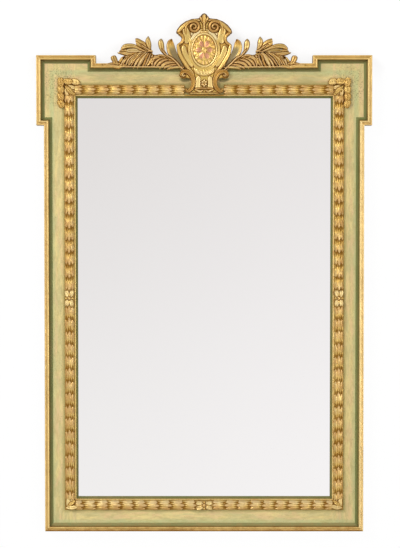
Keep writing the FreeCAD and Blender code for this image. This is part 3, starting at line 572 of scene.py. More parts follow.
# Half-width or place of each kind of leaf across the bundle, by how far along it is
MIDDLE_LEAF = ([-1, 0.0, 0.2, 0.4, 0.68, 0.90, 1.04, 1.11, 1.12],
               [0.13, 0.13, 0.15, 0.30, 0.40, 0.33, 0.15, 0.02, 0])
MIDDLE_PLACE = ([-1, 1], [0, 0])
SIDE_LEAF = ([-1, 0.0, 0.2, 0.4, 0.62, 0.80, 0.93, 0.99, 1.0],
             [0.11, 0.11, 0.13, 0.25, 0.31, 0.26, 0.12, 0.02, 0])
SIDE_PLACE = ([-1, 0.0, 0.3, 0.75, 1.0], [0.38, 0.40, 0.50, 0.66, 0.70])
EDGE_LEAF = ([-1, 0.1, 0.5, 0.82, 0.9, 0.91], [0.10, 0.12, 0.17, 0.12, 0.03, 0])
EDGE_PLACE = ([-1, 0.0, 0.5, 1.0], [0.84, 0.86, 0.92, 0.95])
# The leaves of a bundle, the lowest first: place, half-width, hand, lift and how bright the tip's painted
# highlight is
BUNDLE = [
    (EDGE_PLACE, EDGE_LEAF, 1, -0.03, 0.6), (EDGE_PLACE, EDGE_LEAF, -1, -0.03, 0.6),
    (SIDE_PLACE, SIDE_LEAF, 1, -0.01, 1.35), (SIDE_PLACE, SIDE_LEAF, -1, -0.01, 1.35),
    (MIDDLE_PLACE, MIDDLE_LEAF, 1, 0.0, 1.35),
]


def bundle_field(t, w, shift, swell):
    """Height, cover and masks of one bundle: t along it from its root to its tips, w across from -1 to 1."""
    level = np.full(np.broadcast(t, w).shape, -1.0)
    hollow = np.ones_like(level)
    edge = np.zeros_like(level)
    rise = 0.72 + 0.28 * step_between(t, -0.1, 0.8)
    for number, (place_line, half_line, hand, lift, tip) in enumerate(BUNDLE):
        here = t + shift[..., number % 3] * 0.05
        half = np.interp(here, *half_line) * swell
        middle = np.interp(here, *place_line) * hand + shift[..., 3] * 0.04
        o = np.abs(w - middle) / np.maximum(half, 1e-3)
        cover = (o < 1) & (half > 0.012)
        spread = step_between(here, 0.15, 0.5)
        crown = 1 - 0.12 * o**2 - 0.08 * o**6
        ahead = spread * (1 - step_between(here, 0.85, 1.0)) * (half_line is MIDDLE_LEAF)
        vein = np.exp(-((o / 0.2) ** 2)) * ahead
        z = rise * (crown + lift) - 0.03 * vein
        take = cover & (z > level)
        level = np.where(take, z, level)
        # Painted shade at the leaves' sides, along the vein and at the roots, where the notch between bundles
        # lies in shadow
        side = step_between(o, 0.8, 1.0)
        root = 1 - step_between(here, 0.04, 0.36)
        dark = np.maximum(0.42 * side, 0.25 * vein)
        dark = np.maximum(dark, root * (0.45 + 0.5 * step_between(o, 0.1, 0.7)))
        hollow = np.where(take, dark, hollow)
        # Painted highlight on the middle and the tip of each leaf
        middle_light = (1 - step_between(o, 0.35, 0.9)) * step_between(here, 0.3, 0.6)
        tip_light = tip * step_between(here, 0.6, 0.86) * (1 - step_between(o, 0.6, 1.0))
        edge = np.where(take, np.maximum(0.82 * middle_light, tip_light), edge)
    return level, hollow, edge


def laurel_field(s, a, count, pitch, seed):
    """Radius share and masks of the bundles at run s and angle place a, from -1 to 1."""
    draw = np.random.default_rng(seed)
    shifts = draw.normal(0, 0.55, (count + 2, 4))
    swells = 1 + draw.normal(0, 0.05, count + 2)
    w = np.sin(a * np.pi / 2)
    run = (s - CORNER_RUN) / pitch
    bundle = np.clip(np.floor(run).astype(int), 0, count - 1)
    t = run - bundle
    web = 0.66 + 0.05 * step_between(t, 0.1, 0.6)
    radius = np.broadcast_to(web, np.broadcast(s, a).shape).copy()
    hollow = np.ones_like(radius)
    edge = np.zeros_like(radius)
    for ahead in (1, 0, -1):
        number = np.clip(bundle + ahead, 0, count)
        there = (bundle + ahead >= 0) & (bundle + ahead <= count)
        level, dark, bright = bundle_field(t - ahead, w, shifts[number], swells[number])
        take = there & (level > 0) & ((level > radius) | (ahead < 1))
        take &= (t - ahead) > -0.35
        radius = np.where(take, level, radius)
        hollow = np.where(take, dark, hollow)
        edge = np.where(take, bright, edge)
    number = np.clip(bundle, 0, count)
    turns = w * (2.6 + 0.3 * shifts[number, 1]) + 0.35 * shifts[number, 2] + 0.25 * t
    ribs = 0.5 + 0.5 * np.cos(2 * np.pi * turns)
    body = step_between(t, 0.12, 0.4) * (1 - step_between(np.abs(w), 0.85, 0.97))
    radius = radius - 0.04 * ribs * body
    # The grooves between the ribs get dirt with painted shade, and less painted highlight
    hollow = np.maximum(hollow, 0.42 * ribs**2 * body)
    edge = edge * (1 - 0.4 * ribs * body)
    return np.clip(radius, 0.5, 1.0), hollow, edge


def laurel_rows(run, seed):
    """Rows from a corner along one run, as grids of run, across, level and masks."""
    count = max(1, round((run - CORNER_RUN) / LEAF_PITCH))
    pitch = (run - CORNER_RUN) / count
    angle = np.linspace(0, np.pi, FAN + 1)[None, :]
    s = np.append(np.arange(0, run, ROW_STEP), run)[:, None]
    mitre = np.clip(1 - s / MITRE_FADE, 0, 1)
    skew = s + mitre * TORUS_WIDTH / 2 * (1 - np.cos(angle))
    radius, hollow, edge = laurel_field(skew, 2 * angle / np.pi - 1, count, pitch, seed)
    radius = radius * (0.64 + 0.36 * step_between(skew, 22.0, 27.0))
    # Dirt and painted shade at the start of the run, under the corner carving
    hollow = np.maximum(hollow, 1 - step_between(skew, 23.0, 28.0))
    u = TORUS_WIDTH / 2 * (1 - np.minimum(radius + 0.1, 1.0) ** 0.7 * np.cos(angle))
    skew = s + mitre * u
    level = FRIEZE + TORUS_KICK + TORUS_RISE * radius * np.sin(angle)
    flank = step_between(np.abs(2 * angle / np.pi - 1) + 0 * skew, 0.6, 0.74)
    hollow = hollow * (1 - 0.5 * flank)
    edge = edge * (1 - 0.4 * flank)
    return skew, u, level, hollow, edge, mitre


def seat_rows(length):
    """Rows of the plain seat in the middle, under the flower."""
    angle = np.linspace(0, np.pi, FAN + 1)[None, :]
    s = np.linspace(0.6, length - 0.6, SEAT_ROWS)[:, None]
    radius = 0.44 + 0.2 * np.abs(2 * s / length - 1) ** 3 + 0 * angle
    u = TORUS_WIDTH / 2 * (1 - 0.93 * np.cos(angle)) + 0 * s
    level = FRIEZE + TORUS_KICK + TORUS_RISE * radius * np.sin(angle)
    return s + 0 * u, u, level, 0.5 + 0 * u, 0.1 + 0 * u, 0 * s


# Inner fillet: place, level, soil with painted shade, and painted highlight of each of its lines
FILLET_LINES = np.array([
    (22.62, 27.9, 0.45, 0.1), (22.8, 28.35, 0.15, 0.4), (23.3, 28.6, 0.0, 0.6), (24.5, 28.65, 0.0, 0.6),
    (25.6, 28.55, 0.05, 0.5), (FILLET_END, 28.1, 0.3, 0.3), (FILLET_END, FRIEZE, 0.5, 0.0),
])


def close_rows(run, u, level, hollow, edge, mitre):
    """Adds the inner fillet and the flat back to laurel rows."""
    root = run[:, :1] - mitre * u[:, :1]
    foot = np.zeros((len(u), 1))
    line_u, line_level, soil_and_shade, shine = (np.tile(line, (len(u), 1)) for line in FILLET_LINES.T)
    run = np.concatenate([root, run, root + mitre * line_u], axis=1)
    u = np.concatenate([foot, u, line_u], axis=1)
    level = np.concatenate([foot + FRIEZE, level, line_level], axis=1)
    hollow = np.concatenate([foot + 0.7, hollow, soil_and_shade], axis=1)
    edge = np.concatenate([foot, edge, shine], axis=1)
    return run, u, level, hollow, edge


OLIVE_SIDES = ([0, 1.0, 2.6, 17.0, 20.5, 22.6, 26], [0.6, 0.6, 0, 0.1, 0.7, 1, 1])


def laurel_strip(node, ends, seed, whole=True, light=0.0, lip=1.0, cream=0.0):
    """One carved strip: a whole one runs from mitre to mitre, another from its mitre to where it stops.

    ends are its start, its end and which way is inward. light is how much painted highlight its leaves get,
    which also rubs them, lip how much of its painted highlight the fillet keeps, and cream how much its inner
    side is painted pale as highlight.
    """
    start, along, inward, length, turned = laid_out(*ends)
    run = (length - SEAT_LENGTH) / 2 if whole else length
    parts = [close_rows(*laurel_rows(run, seed))]
    if whole:
        seat = close_rows(*seat_rows(SEAT_LENGTH))
        parts.append((seat[0] + run,) + seat[1:])
        other = [field[::-1] for field in close_rows(*laurel_rows(run, seed + 1))]
        parts.append([length - other[0]] + other[1:])
    run, u, level, hollow, edge = (np.concatenate([part[k] for part in parts], axis=0) for k in range(5))
    x = start[0] + along[0] * run + inward[0] * u
    h = start[1] + along[1] * run + inward[1] * u
    rows, count = u.shape
    points = place(x, h, level).reshape(-1, 3)
    draw = np.random.default_rng(seed + 5)
    facing = 2 * u / TORUS_WIDTH - 1
    marks = np.arange(0, length + 2 * MOTTLE_PITCH, MOTTLE_PITCH)
    mottle = np.interp(run, marks, draw.uniform(0, 1, len(marks)))
    warm = 0.5 * step_between(-facing, -0.1, 0.7) + 0.2 * mottle * (1 - edge)
    # Painted highlight: more of it low on the frame, on the flanks of the torus, and as each strip's light
    # sets
    low = 1 - step_between(h, *SHINE_HEIGHTS)
    soil_and_shade = hollow.clip(0, 1)
    lit = step_between(np.abs(facing), 0.1, 0.6) * (u > 1.2) * (u < TORUS_WIDTH - 1.0) * (1 - 0.7 * soil_and_shade)
    edge = edge + 0.16 * lit + (0.12 * low + light) * (1 - soil_and_shade) * (u < TORUS_WIDTH)
    edge = edge * np.where(u > TORUS_WIDTH, lip, 1.0)
    olive = np.interp(u, *OLIVE_SIDES) + 0.3 * (1 - mottle) * (facing < 0)
    warm = warm * np.interp(u, [TORUS_WIDTH, TORUS_WIDTH + 0.5], [1, 0])
    # The inner side painted pale as highlight
    pale = cream * step_between(facing, -0.2, 0.4) * (1 - 1.2 * hollow).clip(0, 1) * (u < TORUS_WIDTH)
    fields = {"hollow": hollow, "edge": edge, "olive": olive, "brown": warm, "pale": pale}
    masks = {mask: field.ravel() for mask, field in fields.items()}
    faces = tube_faces(rows, count, turned)
    return make_piece(node + "_leaves", points, faces, "gilding", [node], masks=masks, sharp=55.0)


def build_laurel():
    """The five strips of laurel, and the plain fillet under the cartouche."""
    for side, sign in (("right", 1), ("left", -1)):
        x = LAUREL_X * sign
        ends = ((x, LAUREL_HIGH), (x, LAUREL_LOW), (-sign, 0))
        # The left strip gets more painted highlight on its leaves and less on its fillet than the right one
        laurel_strip(f"laurel_{side}", ends, 40 + sign, light=0.08 - 0.08 * sign, lip=0.8 + 0.2 * sign)
        ends = ((x, LAUREL_HIGH), (LAUREL_STOP * sign, LAUREL_HIGH), (0, -1))
        laurel_strip(f"laurel_top_{side}", ends, 50 + sign, whole=False, light=0.03)
    # The bottom strip is painted pale on its upper, inner side as highlight
    ends = ((LAUREL_X, LAUREL_LOW), (-LAUREL_X, LAUREL_LOW), (0, 1))
    laurel_strip("laurel_bottom", ends, 60, light=0.06, cream=0.4)
    fillet = np.vstack([[(FILLET_FOOT, FRIEZE)], FILLET_LINES[:, :2]])
    run = ((LAUREL_STOP, LAUREL_HIGH), (-LAUREL_STOP, LAUREL_HIGH), (0, -1), (0, 0))
    moulding_run("laurel_fillet", "gilding", fillet, run, 71)


build_laurel()


# Flower rosettes

def build_rosette(name, x, h, upright):
    """A flower with four broad petals and two small ones round a button in a dark ring."""
    def turned(stations):
        """Stations along and across the strip of laurel, put where the flower lies."""
        return [(x + c, a, *rest) if upright else (x + a, c, *rest) for a, c, *rest in stations]

    reach = (11.5, 21.0) if upright else (21.0, 11.5)
    carving = Carving(x - reach[0], x + reach[0], -reach[1], reach[1], 0.4, base=h)
    draw = np.random.default_rng(int(abs(x) + h))
    for c in (1, -1):
        small_petal = [(0, 2.0 * c, 3.2, 33.6), (0, 6.5 * c, 3.6, 34.6), (0, 10.4 * c, 2.4, 33.2)]
        carving.cut(turned(small_petal), "leaf", 3.4, tip=0.4, groove=1.5)
    for a, c in ((1, 1), (1, -1), (-1, 1), (-1, -1)):
        sway = draw.normal(0, 0.35)
        petal = [(2.6 * a, 1.2 * c, 2.6, 34.4), (8.0 * a, 4.3 * c + sway, 4.8, 35.8),
                 (14.0 * a, 5.6 * c, 5.1, 35.8), (19.4 * a, 6.4 * c + sway, 3.4, 34.2)]
        tints = {"pale": 0.45} if upright or c > 0 else {"brown": 0.4, "pale": 0.3}
        carving.cut(turned(petal), "gutter", 2.4, tip=0.3, groove=1.2, tints=tints)
    stem = [(-15.6, 0, 1.0, 33.6), (0, 0, 1.6, 34.6), (15.6, 0, 1.0, 33.6)]
    carving.cut(turned(stem), "round", 2.0, tip=0.1, root=0.1, groove=1.0)
    r = np.hypot(carving.x - x, carving.h - h)
    button = 34.4 + 2.2 * np.sqrt(np.clip(1 - (r / 3.7) ** 2, 0, 1))
    carving.level = np.where(r < 3.6, button, np.where(r < 5.0, 33.2, carving.level))
    carving.inside = np.maximum(carving.inside, 6.0 - r)
    carving.tints["brown"] = np.where(r < 5.6, 0.7, carving.tints["brown"])
    carving.piece(name + "_flower", 29.0, [name])


ROSETTE_X = LAUREL_X - TORUS_WIDTH / 2
MIDDLE_HEIGHT = (LAUREL_LOW + LAUREL_HIGH) / 2
build_rosette("rosette_right", ROSETTE_X, MIDDLE_HEIGHT, True)
build_rosette("rosette_left", -ROSETTE_X, MIDDLE_HEIGHT, True)
build_rosette("rosette_bottom", 0.0, LAUREL_LOW + TORUS_WIDTH / 2, False)


# Corners of the laurel: a veined leaf on each mitre between ones painted pale as highlight, and leaf rows
# outside the upper two

# Shape, depth and stations of each leaf, measured in from the outer corner of the laurel
CORNER_LEAVES_ABOVE = [
    ("leaf", 3.4, [(25, 7, 4.0, 33.6), (16, 6.0, 5.4, 35.0), (8, 4.4, 3.2, 34.4)]),
    ("leaf", 3.4, [(7, 25, 4.0, 33.6), (6.0, 16, 5.4, 35.0), (4.4, 8, 3.2, 34.4)]),
    ("gutter", 2.8, [
        (26, 19, 2.6, 34.0), (17.5, 15.4, 4.2, 35.8), (10.8, 14.4, 3.8, 35.6), (3.8, 15.6, 1.6, 34.6),
    ]),
    ("gutter", 2.8, [
        (19, 26, 2.6, 34.0), (15.4, 17.5, 4.2, 35.8), (14.4, 10.8, 3.8, 35.6), (15.6, 3.8, 1.6, 34.6),
    ]),
    ("leaf", 4.2, [
        (23.0, 23.0, 3.0, 33.4), (15.6, 15.6, 5.6, 36.2), (9.5, 9.5, 5.4, 36.4), (3.0, 3.0, 1.6, 34.4),
    ]),
]
CORNER_LEAVES_BELOW = [
    ("leaf", 3.4, [(7, 26, 4.6, 34.6), (7.6, 16, 5.6, 35.6), (6.6, 5.0, 2.6, 34.4)]),
    ("gutter", 2.8, [(18, 27, 3.6, 34.0), (16, 17, 4.6, 35.4), (10, 8.4, 2.6, 34.6)]),
    ("leaf", 4.0, [(21.5, 21.0, 3.0, 33.6), (13, 13.6, 5.0, 36.0), (4.0, 4.0, 1.8, 34.2)]),
    ("leaf", 3.6, [(4.6, 6.0, 3.0, 34.0), (13, 5.8, 5.0, 35.8), (22, 7.8, 5.2, 36.0), (31, 10.4, 2.2, 34.8)]),
]
VEINED_ABOVE, VEINED_BELOW = 4, 2
CORNER_REACH = 27.5
ROW_WIDTH = 14.7


def corner_piece(name, corner_h, down, leaves, mirror, seed):
    """A small carved corner, laid over the mitre."""
    draw = np.random.default_rng(seed)
    low, high = (-CORNER_REACH, 1) if down else (-1, CORNER_REACH)
    carving = Carving(LAUREL_X - 33.5, LAUREL_X + 1, low, high, 0.45, base=corner_h)
    for number, (shape, depth, stations) in enumerate(leaves):
        moved = []
        for a, b, half, level in stations:
            a, b = a + draw.normal(0, 0.35), b + draw.normal(0, 0.35)
            moved.append((LAUREL_X - a, -b if down else b, half, level))
        veined = number == (VEINED_ABOVE if down else VEINED_BELOW)
        # The leaves beside the veined one are painted pale as highlight
        tints = {"olive": 0.6, "brown": 0.4} if veined else {"pale": 0.32}
        carving.cut(moved, shape, depth, tip=0.22, groove=0.9, reach=1.2, tints=tints)
    into_x = LAUREL_X - carving.x
    into_h = (corner_h - carving.h) if down else (carving.h - corner_h)
    nearer = np.minimum(into_x, into_h)
    carving.inside = np.minimum(carving.inside, np.minimum(nearer, 25.8 - nearer))
    veins = np.cos((into_x - into_h) * 2 * np.pi / 3.2) + np.cos((into_x + into_h) * 2 * np.pi / 3.6)
    on_mitre = (np.abs(into_x - into_h) < 5.5) & (into_x > 7) & (into_x < 19)
    carving.level = carving.level + 0.22 * veins * on_mitre
    carving.piece(name, 27.5, mirror=mirror, floor=29.0)


def corner_rows(side, mirror):
    """Rounded leaves outside an upper corner, three across and four down, placed from its outermost point."""
    draw = np.random.default_rng(81 + mirror)
    x0, h0 = LAUREL_X + ROW_WIDTH, LAUREL_HIGH + ROW_WIDTH
    carving = Carving(x0 - 54, x0 + 1, -71, 1, 0.5, base=h0)
    outline = [(-1.6, -1.6), (-1.6, -54), (-10, -64), (-14.6, -60), (-14.6, -14.6), (-44, -14.6), (-46, -9),
               (-36, -1.8)]
    carving.ground([(x0 + x, h) for x, h in outline], 29.5)
    settings = {"tip": 0.13, "groove": 1.3, "reach": 1.0}
    for number in (3, 2, 1, 0):
        top = -1.0 - 16.2 * number
        lean = -3.5 if number == 3 else 0.0
        sway = draw.normal(0, 0.4)
        leaf = [(x0 - 6.4, top, 6.0, 33.4), (x0 - 7.4 + sway, top - 6, 7.7, 35.0),
                (x0 - 7.8 + lean * 0.5, top - 12, 7.6, 34.8), (x0 - 8.8 + lean, top - 18.0, 5.8, 33.2)]
        tints = {"olive": 0.5, "brown": 0.7 - 0.2 * (number % 2)}
        carving.cut(leaf, "leaf", 2.6, tints=tints, **settings)
    for number in (2, 1):
        run = x0 - 1.0 - 15.8 * number
        lean = -4.0 if number == 2 else 0.0
        sway = draw.normal(0, 0.4)
        leaf = [(run, -6.2, 5.8, 33.4), (run - 6, -7.4 + sway, 7.6, 35.0),
                (run - 12, -7.8 + lean * 0.4, 7.0, 34.8), (run - 18.0, -9.0 + lean, 4.2, 33.0)]
        tints = {"olive": 0.4, "brown": 0.6} if number == 1 else {"olive": 0.2, "pale": 0.15}
        carving.cut(leaf, "leaf", 2.6, tints=tints, **settings)
    upright = carving.x > x0 - 15.8
    across = np.abs(np.where(upright, x0 - 7.7 - carving.x, h0 - 7.7 - carving.h))
    along = np.where(upright, carving.h, carving.x)
    carving.level = carving.level + 0.34 * np.cos(2 * np.pi * (along + 0.9 * across) / 4.3)
    node = f"corner_leaves_{side}"
    carving.piece(node + "_carved", 27.0, [node], mirror=mirror, outline=0.9, deep=1.15)


for side, mirror in (("right", False), ("left", True)):
    corner_piece(f"laurel_corner_above_{side}", LAUREL_HIGH, True, CORNER_LEAVES_ABOVE, mirror, 75 + mirror)
    corner_piece(f"laurel_corner_below_{side}", LAUREL_LOW, False, CORNER_LEAVES_BELOW, mirror, 78 + mirror)
    corner_rows(side, mirror)


# Crest: the cartouche. Heights are from the frame's top edge, and paired cuts are given for the right side

TOP = FRAME_HEIGHT
CARTOUCHE_EDGE = [
    (0, -70.4), (28, -70.2), (38, -68.6), (44.5, -64), (43, -58.5), (36, -57), (31, -55), (28.5, -48),
    (29.5, -40.5), (34, -35), (41, -33), (48, -34.8), (54, -33), (57.4, -27), (55, -20), (47, -16.2),
    (41.5, -13.5), (46.8, -3), (54.5, 9), (60, 21), (63, 34), (62.6, 43), (57.5, 45), (53.2, 50),
    (51.7, 57), (53.6, 63.5), (59, 67.5), (64.2, 70.8), (62, 77.5), (54, 87.5), (43, 95.5), (29, 101),
    (14, 102.4), (9.4, 104), (8, 108), (4.4, 112.4), (0, 114.3),
]
SIDE_BAND = [
    (60.4, 43.4, 2.4, 38.2), (59.2, 35, 4.0, 38.8), (56.0, 22, 4.5, 39.0), (50.0, 10, 4.5, 39.0),
    (42.4, -2, 4.3, 39.0), (35.0, -12.6, 3.9, 38.8), (27.8, -22, 3.3, 38.2), (22.4, -30, 2.4, 36.8),
]
SHOULDER_BAND = [
    (8, 98.0, 2.4, 37.6), (20, 97.2, 3.4, 38.6), (31, 94.6, 3.9, 39.0), (42.4, 88.6, 4.1, 39.2),
    (52, 80.2, 4.1, 39.2), (59, 72.6, 3.4, 38.6), (62.6, 70.6, 1.8, 37.8),
]
NOTCH_BAND = [
    (60.0, 70.0, 2.6, 38.0), (53.6, 66.0, 3.2, 38.2), (49.2, 61, 3.3, 38.2), (48.2, 55, 3.3, 38.2),
    (50.8, 48.4, 3.2, 38.2), (56.6, 43.6, 2.8, 38.2), (61.0, 42.4, 2.2, 38.2),
]
EAR_PAD = [
    (44.6, 86, 3.6, 36.4), (42.6, 76, 7.0, 37.4), (40.0, 65, 8.2, 37.6), (39.0, 54, 8.0, 37.5),
    (42.5, 44.5, 5.6, 36.6),
]
SIDE_PAD = [
    (47.2, 41, 4.4, 36.2), (46.2, 29, 6.0, 37.0), (41.4, 15, 6.6, 37.2), (34, 2, 6.2, 37.0),
    (27, -9, 4.0, 36.2),
]
C_SCROLL = [
    (48.6, -26.6, 2.0, 39.4), (51.4, -28.2, 2.3, 39.6), (53.4, -25, 2.9, 39.8), (50.6, -20.6, 3.6, 39.8),
    (44.5, -18.6, 4.3, 39.4), (37, -20.2, 4.9, 39.0), (30.4, -25.4, 5.0, 38.8), (26.2, -33, 5.0, 38.6),
    (24.6, -42, 5.0, 38.4), (25.8, -50.5, 4.8, 38.2), (29.8, -58.2, 4.5, 38.0), (35.6, -63.0, 4.0, 37.8),
    (40.8, -62.6, 3.2, 38.0), (41.8, -59.6, 2.4, 38.2), (39.4, -58.6, 1.8, 38.0),
]
BULGE = [(0, -4, 23, 36.0), (0, -13, 24, 37.2), (0, -21, 21.5, 37.2), (0, -29, 16.5, 36.0)]
FOOT_PAD = [(13, -33, 5, 35.6), (14.5, -45, 6, 36.0), (15, -58, 7, 35.8)]
FOOT_LEAF = [(2, -60.6, 1.6, 37.0), (9, -64.4, 2.4, 37.6), (17, -61.5, 2.4, 37.4), (23, -59, 1.6, 36.6)]
FOOT_BAR = [(-20, -57.6, 1.5, 36.6), (0, -57.0, 1.7, 37.0), (20, -57.6, 1.5, 36.6)]
FOOT_EDGE = [(-33, -68.4, 1.6, 36.0), (0, -68.6, 1.8, 36.6), (33, -68.4, 1.6, 36.0)]
SHOULDER_LEAF = [
    (35.4, 91.6, 1.6, 37.4), (41.4, 83, 2.2, 38.2), (42.6, 73, 2.0, 38.0), (39.6, 65.4, 1.2, 37.2),
]
FINIAL_LEAF = [
    (1.5, 90, 1.8, 38.4), (4.8, 97.5, 2.7, 40.2), (8.2, 103.4, 2.6, 40.0), (9.4, 106.4, 1.8, 38.6),
]
FINIAL = [
    (0, 70.5, 3.6, 38.2), (0, 75, 2.6, 39.2), (0, 84, 2.5, 39.6), (0, 93, 3.2, 40.4), (0, 103, 4.7, 41.0),
    (0, 109, 4.4, 40.6), (0, 114, 1.6, 39.2),
]
FINIAL_FOOT = [(0.5, 71.6, 2.2, 39.0), (6.5, 71.2, 2.4, 39.0), (10, 69.4, 1.2, 38.0)]
FLOWER_HEIGHT = -45.6
BUTTON = [(-1.2, FLOWER_HEIGHT, 1.9, 39.0), (0, FLOWER_HEIGHT, 2.2, 39.4), (1.2, FLOWER_HEIGHT, 1.9, 39.0)]
FLOWER_PETALS = ((0, 3.0), (60, 2.7), (120, 2.7), (180, 3.0), (240, 2.7), (300, 2.7))
BOSS_HEIGHT = 30
BOSS_HALVES = (30.5, 40.5)
BAND_MIDDLE, BAND_HALF = 1.1, 0.11


def spiral(x, v, turns, **ends):
    """Stations that wind in to an eye.

    turns are the first angle and the sweep. ends are the first and last radius, half-width and level.
    """
    start, sweep = turns
    stations = []
    for share in np.linspace(0, 1, 26):
        turn = math.radians(start + sweep * share)
        r, half, level = (first + (last - first) * share for first, last in ends.values())
        stations.append((x + r * math.cos(turn), v + r * math.sin(turn), half, level))
    return stations


def tint_cartouche(carving):
    """The ground's tints: pale at the neck, olive below it and at the top, and brown at the sides."""
    v = carving.h - TOP
    aside = np.abs(carving.x)
    carving.tints["pale"] = step_between(v, 40, 54) * step_between(-v, -72, -66) * (aside < 33)
    olive = 0.75 * (1 - step_between(v, 36, 50)) + 0.5 * step_between(v, 74, 80)
    carving.tints["olive"] = olive * (aside < 36)
    carving.tints["brown"] = 0.6 * step_between(aside, 34, 44)


def carve_foot(carving):
    """The ribbed bulge under the boss, and the foot with its small flower."""
    cream, red = {"olive": 0.3, "pale": 0.2}, {"brown": 0.8}
    carving.cut(BULGE, "round", 3.6, tip=0.3, root=0.1, groove=0.6, tints=cream)
    for number in (-2, 2, -1, 1, 0):
        away = abs(number)
        rib = [(8.4 * number, -10.5, 3.6, 36.6 - 0.3 * away), (7.4 * number, -18.5, 3.8, 38.0 - 0.5 * away),
               (5.8 * number, -28.0 + 1.2 * away, 3.0, 37.0)]
        carving.cut(rib, "round", 1.5, tip=0.3, root=0.3, groove=0.6, tints=cream)
    carving.cut_pair(FOOT_PAD, "round", 1.2, groove=0.5, tints={"olive": 0.2, "pale": 0.3})
    for turn, size in FLOWER_PETALS:
        way = math.radians(turn + 90)
        c, s = math.cos(way), math.sin(way)
        petal = [(1.6 * c, FLOWER_HEIGHT + 1.8 * s, size * 0.6, 37.4),
                 (4.6 * c, FLOWER_HEIGHT + 5.6 * s, size, 38.6),
                 (7.2 * c, FLOWER_HEIGHT + 9.0 * s, size * 0.8, 38.0)]
        carving.cut(petal, "leaf", 3.0, tip=0.4, groove=1.6, tints={"pale": 0.25, "brown": 0.3})
    carving.cut(BUTTON, "round", 2.0, tip=0.4, root=0.4, groove=1.4, tints=red)
    carving.cut_pair(FOOT_LEAF, "round", 2.6, tip=0.2, root=0.2, groove=1.3)
    carving.cut(FOOT_BAR, "round", 1.8, tip=0.1, root=0.1, groove=1.2, tints=red)
    carving.cut(FOOT_EDGE, "round", 2.0, tip=0.05, root=0.05, groove=1.2)


def carve_pads(carving):
    """The soft pads beside the boss, and the band that frames it."""
    soft = {"olive": 0.6, "pale": 0.12}
    carving.cut_pair(EAR_PAD, "round", 1.6, tip=0.25, root=0.2, groove=0.3, tints=soft)
    carving.cut_pair(SIDE_PAD, "round", 1.5, tip=0.25, root=0.12, groove=0.3, tints=soft)
    v = carving.h - TOP
    r = np.hypot(carving.x / BOSS_HALVES[0], (v - BOSS_HEIGHT) / BOSS_HALVES[1])
    band = np.abs(r - BAND_MIDDLE) < BAND_HALF
    proud = 35.6 + 1.5 * round_cut((r - BAND_MIDDLE) / BAND_HALF)
    carving.level = np.where(band, np.maximum(carving.level, proud), carving.level)
    pale = 0.7 * step_between(v, 49, 58) * step_between(np.abs(carving.x), 6, 13)
    for tint, share in (("pale", pale), ("olive", 0.6), ("brown", 0.25)):
        carving.tints[tint] = np.where(band, share, carving.tints[tint])


def carve_scrolls(carving):
    """The bands, volutes and finial."""
    carving.cut_pair(NOTCH_BAND, "round", 2.6, tip=0.08, root=0.08, groove=0.8, tints={"brown": 1.0})
    carving.cut_pair(SIDE_BAND, "round", 3.0, tip=0.12, root=0.06, groove=1.0, tints={"brown": 0.3})
    carving.cut_pair(C_SCROLL, "gutter", 4.2, tip=0.05, root=0.05, groove=2.2, tints={"brown": 0.9})
    eye = spiral(47.5, -26.2, (-160, 330), radius=(3.6, 0.6), half=(1.8, 1.8), level=(39.2, 40.2))
    carving.cut_pair(eye, "round", 2.4, tip=0.2, groove=1.2, tints={"olive": 0.7})
    carving.cut_pair(SHOULDER_BAND, "round", 3.0, tip=0.08, root=0.1, groove=1.2, tints={"brown": 0.3})
    volute = spiral(23.4, 82.6, (35, 640), radius=(13.8, 2.2), half=(3.5, 2.1), level=(38.6, 40.6))
    carving.cut_pair(volute, "round", 3.6, tip=0.06, root=0.06, groove=2.8, reach=1.8, tints={"brown": 1.3})
    carving.cut_pair(SHOULDER_LEAF, "round", 2.6, tip=0.3, root=0.3, groove=1.4, tints={"brown": 0.5})
    carving.cut_pair(FINIAL_LEAF, "leaf", 3.4, tip=0.3, groove=2.0, tints={"olive": 0.3})
    carving.cut(FINIAL, "leaf", 3.8, tip=0.12, groove=2.2, tints={"brown": 0.35})
    carving.cut_pair(FINIAL_FOOT, "round", 2.4, tip=0.3, groove=1.2)


def build_cartouche():
    """The scrolled shield of the crest with its finial, pads, volutes and foot."""
    carving = Carving(-66, 66, -72, 116, 0.6, base=TOP)
    carving.ground(CARTOUCHE_EDGE + [(-x, v) for x, v in CARTOUCHE_EDGE[-2:0:-1]], 34.6)
    v = carving.h - TOP
    beside_boss = 1 - (carving.x / 34) ** 2 - ((v - BOSS_HEIGHT) / 45) ** 2 < 0.3
    carving.level = carving.level - 1.2 * step_between(carving.inside, 0, 1.5) * beside_boss
    tint_cartouche(carving)
    carve_foot(carving)
    carve_pads(carving)
    carve_scrolls(carving)
    carving.deepen("silver", 0.75 * step_between(v, 107.5, 111))
    back = np.where(carving.h > TOP, CARCASS_BACK, FRIEZE)
    carving.piece("cartouche_carved", back, ["cartouche"], floor=30.5, outline=2.2)


build_cartouche()


# Oval boss: a flower of six petals on a rayed field, inside a pale ring

# Reach, turn, height and rose tint of each ring of petals, the lower first
BOSS_PETALS = ((22.0, math.pi / 6, 0.9, 0.0), (20.5, 0.0, 2.0, 1.0))
GREATEST_BOSS_LEVEL = 41.95


